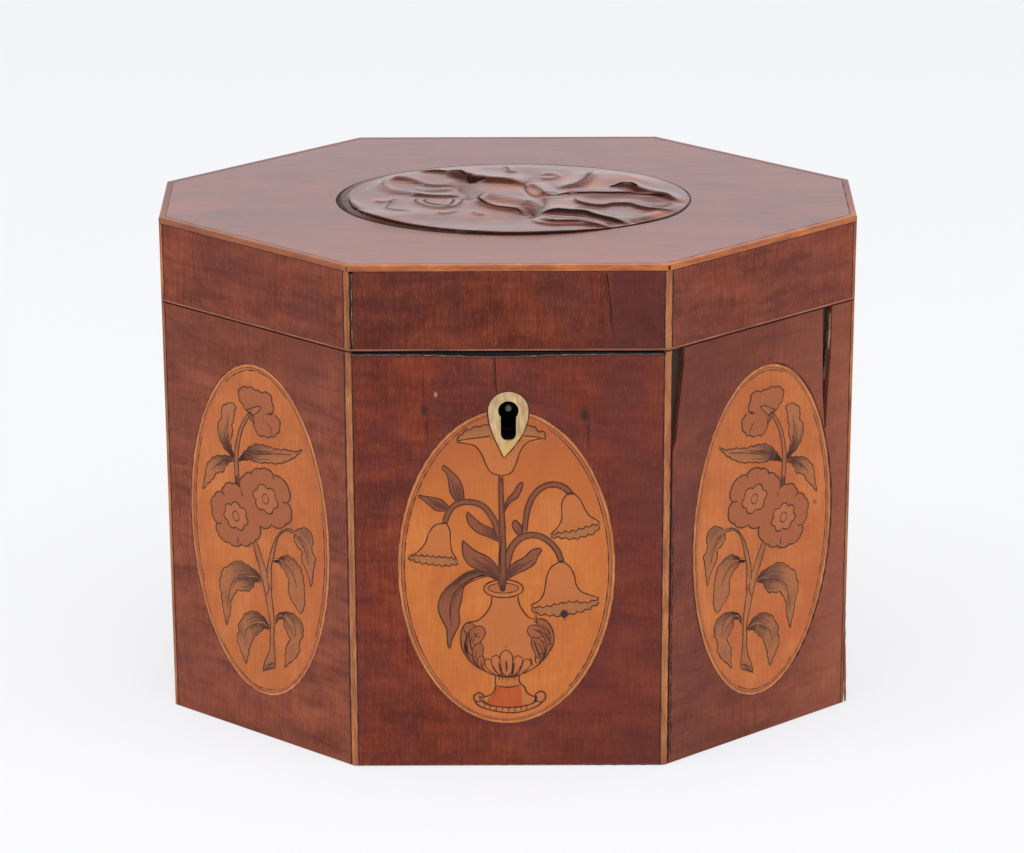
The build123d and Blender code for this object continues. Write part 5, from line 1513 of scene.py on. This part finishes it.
# Inside
# Mahogany linings hold a ledge for the loose inner lid, over a lining of tea lead. They show when
# the lid is raised.
mahogany = timber(
    "mahogany_polished", ["#4a2216", "#6b3320", "#8a4a2e"], (12, 0.5, 0.6), (12, 7, 12), 0.35, 0.015
)
glaze(mahogany, grain(mahogany, (5, 0.4, 0.4), 2.0), 0.6, 0.74, 0.5, "#32150e")
finish_nodes(mahogany, "compartment_linings", "inner_lid", "inner_lid_knob")
tea_lead = metal("tea_lead_sheet", ["#7d7b76", "#8f8d88", "#a3a19b"], "#55524e", 0.5)
finish_nodes(tea_lead, "tea_foil", "lid_lining")


# Lid oval
# Damp has swollen the marquetry on the lid until its pieces stand up as ridges and folds, split
# along their cuts, and old varnish has run over them all.
lid_centre = np.array([1.4, -0.2])
lid_half = np.array([39.92, 25.22])
relief_columns, relief_rows = 250, 150
u, v = np.meshgrid(np.linspace(-1, 1, relief_columns), np.linspace(-1, 1, relief_rows))
disc_x, disc_y = u * np.sqrt(1 - v**2 / 2), v * np.sqrt(1 - u**2 / 2)
relief_x, relief_y = lid_centre[0] + lid_half[0] * disc_x, lid_centre[1] + lid_half[1] * disc_y
to_edge = 1 - np.hypot(disc_x, disc_y)
relief = {name: np.zeros_like(relief_x) for name in ("height", "ink", "warm")}


def fold(points, rise, left, right, ink=0.0, line=0.4):
    """Raise the oval beside a drawn line by rise times exp(-(d / w) ** 2), d being the distance
    from it and w a width of its own to the left and to the right, and darken the line itself."""
    drawn = smooth_line(points, 70)
    way = np.gradient(drawn, axis=0)
    offset = np.stack([relief_x, relief_y], axis=-1)[:, :, None] - drawn
    distance = np.linalg.norm(offset, axis=-1)
    nearest = distance.argmin(axis=-1)
    closest = np.take_along_axis(distance, nearest[..., None], axis=-1)[..., 0]
    gap = np.take_along_axis(offset, nearest[..., None, None], axis=-2)[..., 0, :]
    side = way[nearest][..., 0] * gap[..., 1] - way[nearest][..., 1] * gap[..., 0]
    share = nearest / (len(drawn) - 1)
    ends = np.clip(np.minimum(share, 1 - share) / 0.2, 0, 1) ** 0.7
    relief["height"] += rise * ends * np.exp(-((closest / np.where(side > 0, left, right)) ** 2))
    relief["ink"] = np.maximum(
        relief["ink"], ink * np.clip(ends * 1.5, 0, 1) * np.exp(-((closest / line) ** 2))
    )


def patch(name, x, y, reach_x, reach_y, depth):
    """Add a soft round patch to one of the relief's maps."""
    relief[name] += depth * np.exp(-(((relief_x - x) / reach_x) ** 2) - ((relief_y - y) / reach_y) ** 2)


# Ridges from upper left to the middle, and the splits beside them.
fold([(-14, 17), (-10, 14), (-5, 12.2), (0, 11), (4, 9.3)], 0.9, 4.0, 1.3)
fold([(-22, 18.5), (-18, 18.2), (-15, 17.8), (-11.5, 15.5), (-9, 12.5)], 0.5, 3.0, 1.0, 0.9)
fold([(-9.2, 13.4), (-8.4, 11.6), (-7.0, 11.8), (-4.6, 12.0)], -0.3, 0.9, 0.9, 1.0, 0.5)
fold([(-7, 1), (-3, -0.8), (1, -3.5), (5, -6), (7.5, -7)], 1.1, 2.2, 5.0)
fold([(-7, -1), (-6, -4.5), (-3, -8), (0, -9.5), (2, -10.5), (3.5, -13)], 0.35, 1.5, 1.0, 0.75)
fold([(4.6, 9.5), (7, 5), (8.6, 0.5)], 0.5, 3.0, 0.7, 0.4)
fold([(4, 9.5), (4.3, 5), (6, 1), (8.3, -0.7)], -0.25, 0.8, 1.2, 0.5)
fold([(8.3, -1), (8.3, -5), (7.3, -9), (5, -13), (3.8, -14.5)], -0.5, 1.3, 1.6, 0.3)
fold([(-12, 9.5), (-10, 5.5), (-9, 2), (-9, -2)], -0.3, 2.2, 1.2, 0.2, 0.8)
# The long leaf to the right, with its crest and near outline.
fold([(8.6, 0.4), (10.5, 0.5), (14.5, 1.6)], 0.15, 1.0, 1.0, 0.9)
fold([(9.5, -1.8), (14, -0.6)], 0.1, 1.0, 1.0, 0.3)
fold([(11, 1.2), (15, 3.2), (22, 3.6), (29, 2.6)], 0.55, 1.6, 2.0)
fold([(14, 1.4), (18, 1.4), (22, 1.2), (30, 0.4), (37, -2)], 0.5, 1.2, 3.0, 0.75, 0.7)
fold(
    [
        (15.5, -1.0), (15.2, -3.5), (18, -6.5), (21, -7.3), (24, -5.8), (27, -5.8), (30, -8.3),
        (34, -10), (38, -10)
    ],
    0.5, 2.6, 0.6, 0.6
)
fold([(25, 8.5), (28.5, 5), (32, 2), (37, -1.5), (39.5, -3.5)], 0.9, 2.4, 0.9, 0.15)
fold([(23, 6.5), (25, 7.5), (27.5, 7), (29.5, 4)], 0.3, 0.8, 1.2, 0.8, 0.8)
fold([(19.5, 18), (18.5, 14), (17, 10), (14.5, 7), (11, 6)], 0.6, 1.4, 3.2, 0.45, 0.6)
# Lower right: two overlapping flaps.
fold(
    [(7, -12.7), (8.4, -11.2), (11, -10.6), (13.5, -11.2), (17, -12), (19, -14), (23, -17), (27, -19)],
    0.7, 3.5, 0.5, 0.9, 0.55
)
fold([(7, -14.4), (11, -14.8), (17, -16.6), (22, -19.2)], 0.45, 1.6, 1.2)
fold([(7, -15.5), (10, -17.5), (15, -18), (20, -20.5), (23, -21.3)], 0.5, 2.0, 0.6, 0.6)
fold([(5, -16.5), (7, -18.6), (10, -20.0), (16, -19.9), (20, -21.5)], 0.3, 1.0, 0.6, 0.5)
# Left: the cup of a flower, petals and shallow folds.
fold(
    [(-20.5, 0), (-20.8, -3), (-19, -6), (-15.5, -8), (-12, -7), (-10.5, -4), (-10.3, 0)],
    0.25, 1.0, 1.0, 0.55
)
fold(
    [(-18.5, -1), (-18.7, -3.5), (-16, -6), (-13.5, -6.5), (-12.4, -4), (-12.2, -0.5)],
    0.25, 1.2, 0.8, 0.6
)
fold([(-22, 1.6), (-19, 1.0), (-16, 0.4), (-13, 0.3), (-10.5, 0.2)], 0.35, 2.2, 0.8, 0.6)
fold([(-25, 0), (-26.5, -4), (-27, -8), (-24, -9.8), (-21.5, -10.2)], 0.2, 1.0, 0.8, 0.4)
fold([(-28, 13), (-28.5, 8.5), (-26, 4.5), (-22, 2.8), (-19, 1.8)], 0.3, 1.5, 1.5, 0.35)
fold([(-22, 6.3), (-20.5, 5.0), (-17, 4.5), (-12, 5.5)], 0.25, 1.5, 1.0, 0.4)
fold([(-20, 10.5), (-17.5, 8.5), (-13, 8), (-11, 7)], 0.3, 1.5, 1.0, 0.35)
fold([(-27, 13.5), (-22, 12), (-19.5, 9.5)], 0.25, 1.5, 1.0, 0.25)
fold([(-16, -11), (-15, -12.2), (-13, -11.6), (-10.8, -9.5)], 0.15, 1.0, 0.8, 0.3)
fold([(-8, -10), (-7, -12), (-5, -12.8)], 0.15, 1.0, 0.8, 0.25)
fold([(-30, -1.5), (-28.5, -3.0), (-26, -2.4)], 0.2, 1.0, 1.0, 0.2)
fold([(-30, 15), (-34, 9.5), (-35.8, 3), (-35.6, -3), (-33, -9)], 0.4, 1.3, 2.5, 0.15, 0.8)
fold([(-1, 22.5), (0, 20.5), (0.3, 18.6), (2.5, 18.6)], 0.25, 1.0, 1.0, 0.45)
fold([(7, 15), (9, 13.2), (11.5, 14.6), (9.5, 16.8), (7.4, 15.8)], 0.2, 1.0, 1.0, 0.3)
fold(oval_line(lid_centre, *lid_half, 0.2, 186, 300), 0.3, 4.5, 4.0)
fold(
    [(-31, 16), (-35, 11), (-37.6, 5), (-38.0, 0), (-37.2, -5), (-34.5, -10.5)],
    -0.25, 1.0, 1.0, 0.55, 0.7
)
fold([(28, -17.5), (35, -11), (39.5, -5)], 0.6, 2.0, 1.2)
patch("ink", -8.0, 11.6, 0.8, 0.9, 1.0)
patch("height", -24, 15, 6, 4, 0.5)
patch("height", 12, -4, 5, 4, 0.35)
patch("height", -20, -13, 12, 5, 0.4)
patch("height", 28, 14, 8, 6, 0.4)
for x, y, reach_x, reach_y, depth in (
    (20, 8, 3.0, 2.6, 1.0), (0, 6, 5, 3, 0.8), (13, 13, 3, 2, 0.8), (28, 13, 8, 4, 0.55),
    (33, -12, 3, 2, 0.9), (11, -19, 4, 1.2, 0.9), (-2, -7, 3.5, 2.5, 0.6), (-27, 10, 5, 3, 0.3),
    (6.0, 3.5, 1.2, 3, 0.9), (-12.3, -3.4, 0.7, 1.6, 0.7), (-6, -12, 8, 3, 0.4), (12, -6, 4, 3, 0.45)
):
    patch("warm", x, y, reach_x, reach_y, depth)
swell = 0.24 + 0.03 * np.sin(0.21 * relief_x + 0.33 * relief_y)
ridge_scale = 1.2
relief["height"] *= ridge_scale
near_left = np.clip(-disc_y * 1.6 - disc_x * 0.9, 0, 1)
inner_edge = 1 - np.hypot((relief_x - 2.5) / 38.8, disc_y)
steep = np.clip(inner_edge * 80 + 0.1, 0, 1)
edge_fall = near_left * steep + (1 - near_left) * np.clip(to_edge * 7 + 0.06, 0, 1)
relief["height"] = (relief["height"] + swell) * edge_fall
ripple = 0.02 * np.sin(2.3 * relief_y + 0.6 * np.sin(0.5 * relief_x))
relief["height"] += ripple * np.sin(0.31 * relief_x + 1.7 * relief_y)
# A dark line round the edge, heaviest at the near left, and the steep wall there are painted dark: partly
# the joint, partly painted shade.
relief["ink"] = np.maximum(relief["ink"], np.clip(1 - to_edge * 70, 0, 1) * (0.5 + 0.5 * near_left))
grey_rim = np.clip(0.5 - inner_edge * 60, 0, 1) * np.clip(-disc_x * 3 - 0.8, 0, 1)
relief["ink"] = np.maximum(np.minimum(relief["ink"] * 1.6, 1.0), 0.62 * grey_rim)
relief["ink"] = np.maximum(relief["ink"], near_left * np.clip(4 * steep * (1 - steep) * 1.3, 0, 0.95))
# Slopes that face the front are painted dark, and their varnish is thinned there too: painted shade.
towards_back = np.gradient(relief["height"], axis=0) / np.maximum(np.gradient(relief_y, axis=0), 0.05)
relief["ink"] = np.maximum(relief["ink"], np.clip(towards_back * 1.5 - 0.06, 0, 0.72))
relief_grid = np.stack([relief_x, relief_y, lid_top + relief["height"]], axis=-1)
lid_oval = grid_mesh("lid_oval_relief", [relief_grid], ink=[relief["ink"]], warm=[relief["warm"]])
lid_oval.data.shade_smooth()

swollen = timber("swollen_marquetry", ["#5a2a20", "#733a2c", "#8c523e"], (5, 0.4, 2), (9, 5, 5), 0.3, 0.02)
glaze(swollen, grain(swollen, (8, 6, 4), 2.0, 0.5), 0.46, 0.62, 0.5, "#6d4a48")
warmth = add(swollen["tree"], "ShaderNodeAttribute", attribute_name="warm").outputs["Fac"]
glaze(swollen, warmth, 0.05, 1.0, 0.85, "#a8582f")
ink = add(swollen["tree"], "ShaderNodeAttribute", attribute_name="ink").outputs["Fac"]
glaze(swollen, ink, 0.05, 0.9, 0.95, "#231613")
polished = add(swollen["tree"], "ShaderNodeMath", {0: 0.88, 1: ink}, operation="SUBTRACT", use_clamp=True)
swollen["tree"].links.new(polished.outputs[0], swollen["shader"].inputs["Coat Weight"])
dulled = add(swollen["tree"], "ShaderNodeMath", {0: 0.35, 1: polished.outputs[0]}, operation="MULTIPLY")
swollen["tree"].links.new(dulled.outputs[0], swollen["shader"].inputs["Specular IOR Level"])
swollen["shader"].inputs["Coat Roughness"].default_value = 0.2
fix_down(lid_oval, swollen, "lid", 1.2)
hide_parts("lid_oval")

# The swollen oval stands off its ground, and the groove at its edge, widest below, is dark with grit and
# painted shadow.
edge_angle = np.radians(np.linspace(0, 360, 400))
edge_share = 0.5 + 0.5 * np.cos(edge_angle - math.radians(232))
edge_width = 0.14 + 0.4 * edge_share**3 * (1 - 0.7 * np.exp(-(((np.degrees(edge_angle) - 304) / 9) ** 2)))
edge_width += 0.7 * np.exp(-(((np.degrees(edge_angle) - 330) / 14) ** 2))
edge_reach = np.stack([np.full_like(edge_width, -0.25), edge_width])
groove = np.stack(
    [
        lid_centre[0] + (lid_half[0] + edge_reach) * np.cos(edge_angle),
        lid_centre[1] + (lid_half[1] + edge_reach) * np.sin(edge_angle),
        np.full(edge_reach.shape, lid_top + 0.02),
    ],
    axis=-1,
)
grit_and_shadow = timber(
    "grit_and_painted_shadow_in_groove", ["#140d0b", "#241814", "#3d2a24"], (0.6, 0.5, 1), (1.5, 1.5, 1.5), 0.7, 0.02
)
glaze(grit_and_shadow, grain(grit_and_shadow, (0.5, 0.4, 0.5), 1.0), 0.62, 0.7, 0.8, "#7d6a5e")
fix_down(grid_mesh("lid_oval_edge", [groove[::-1]]), grit_and_shadow, "lid", 0.05)
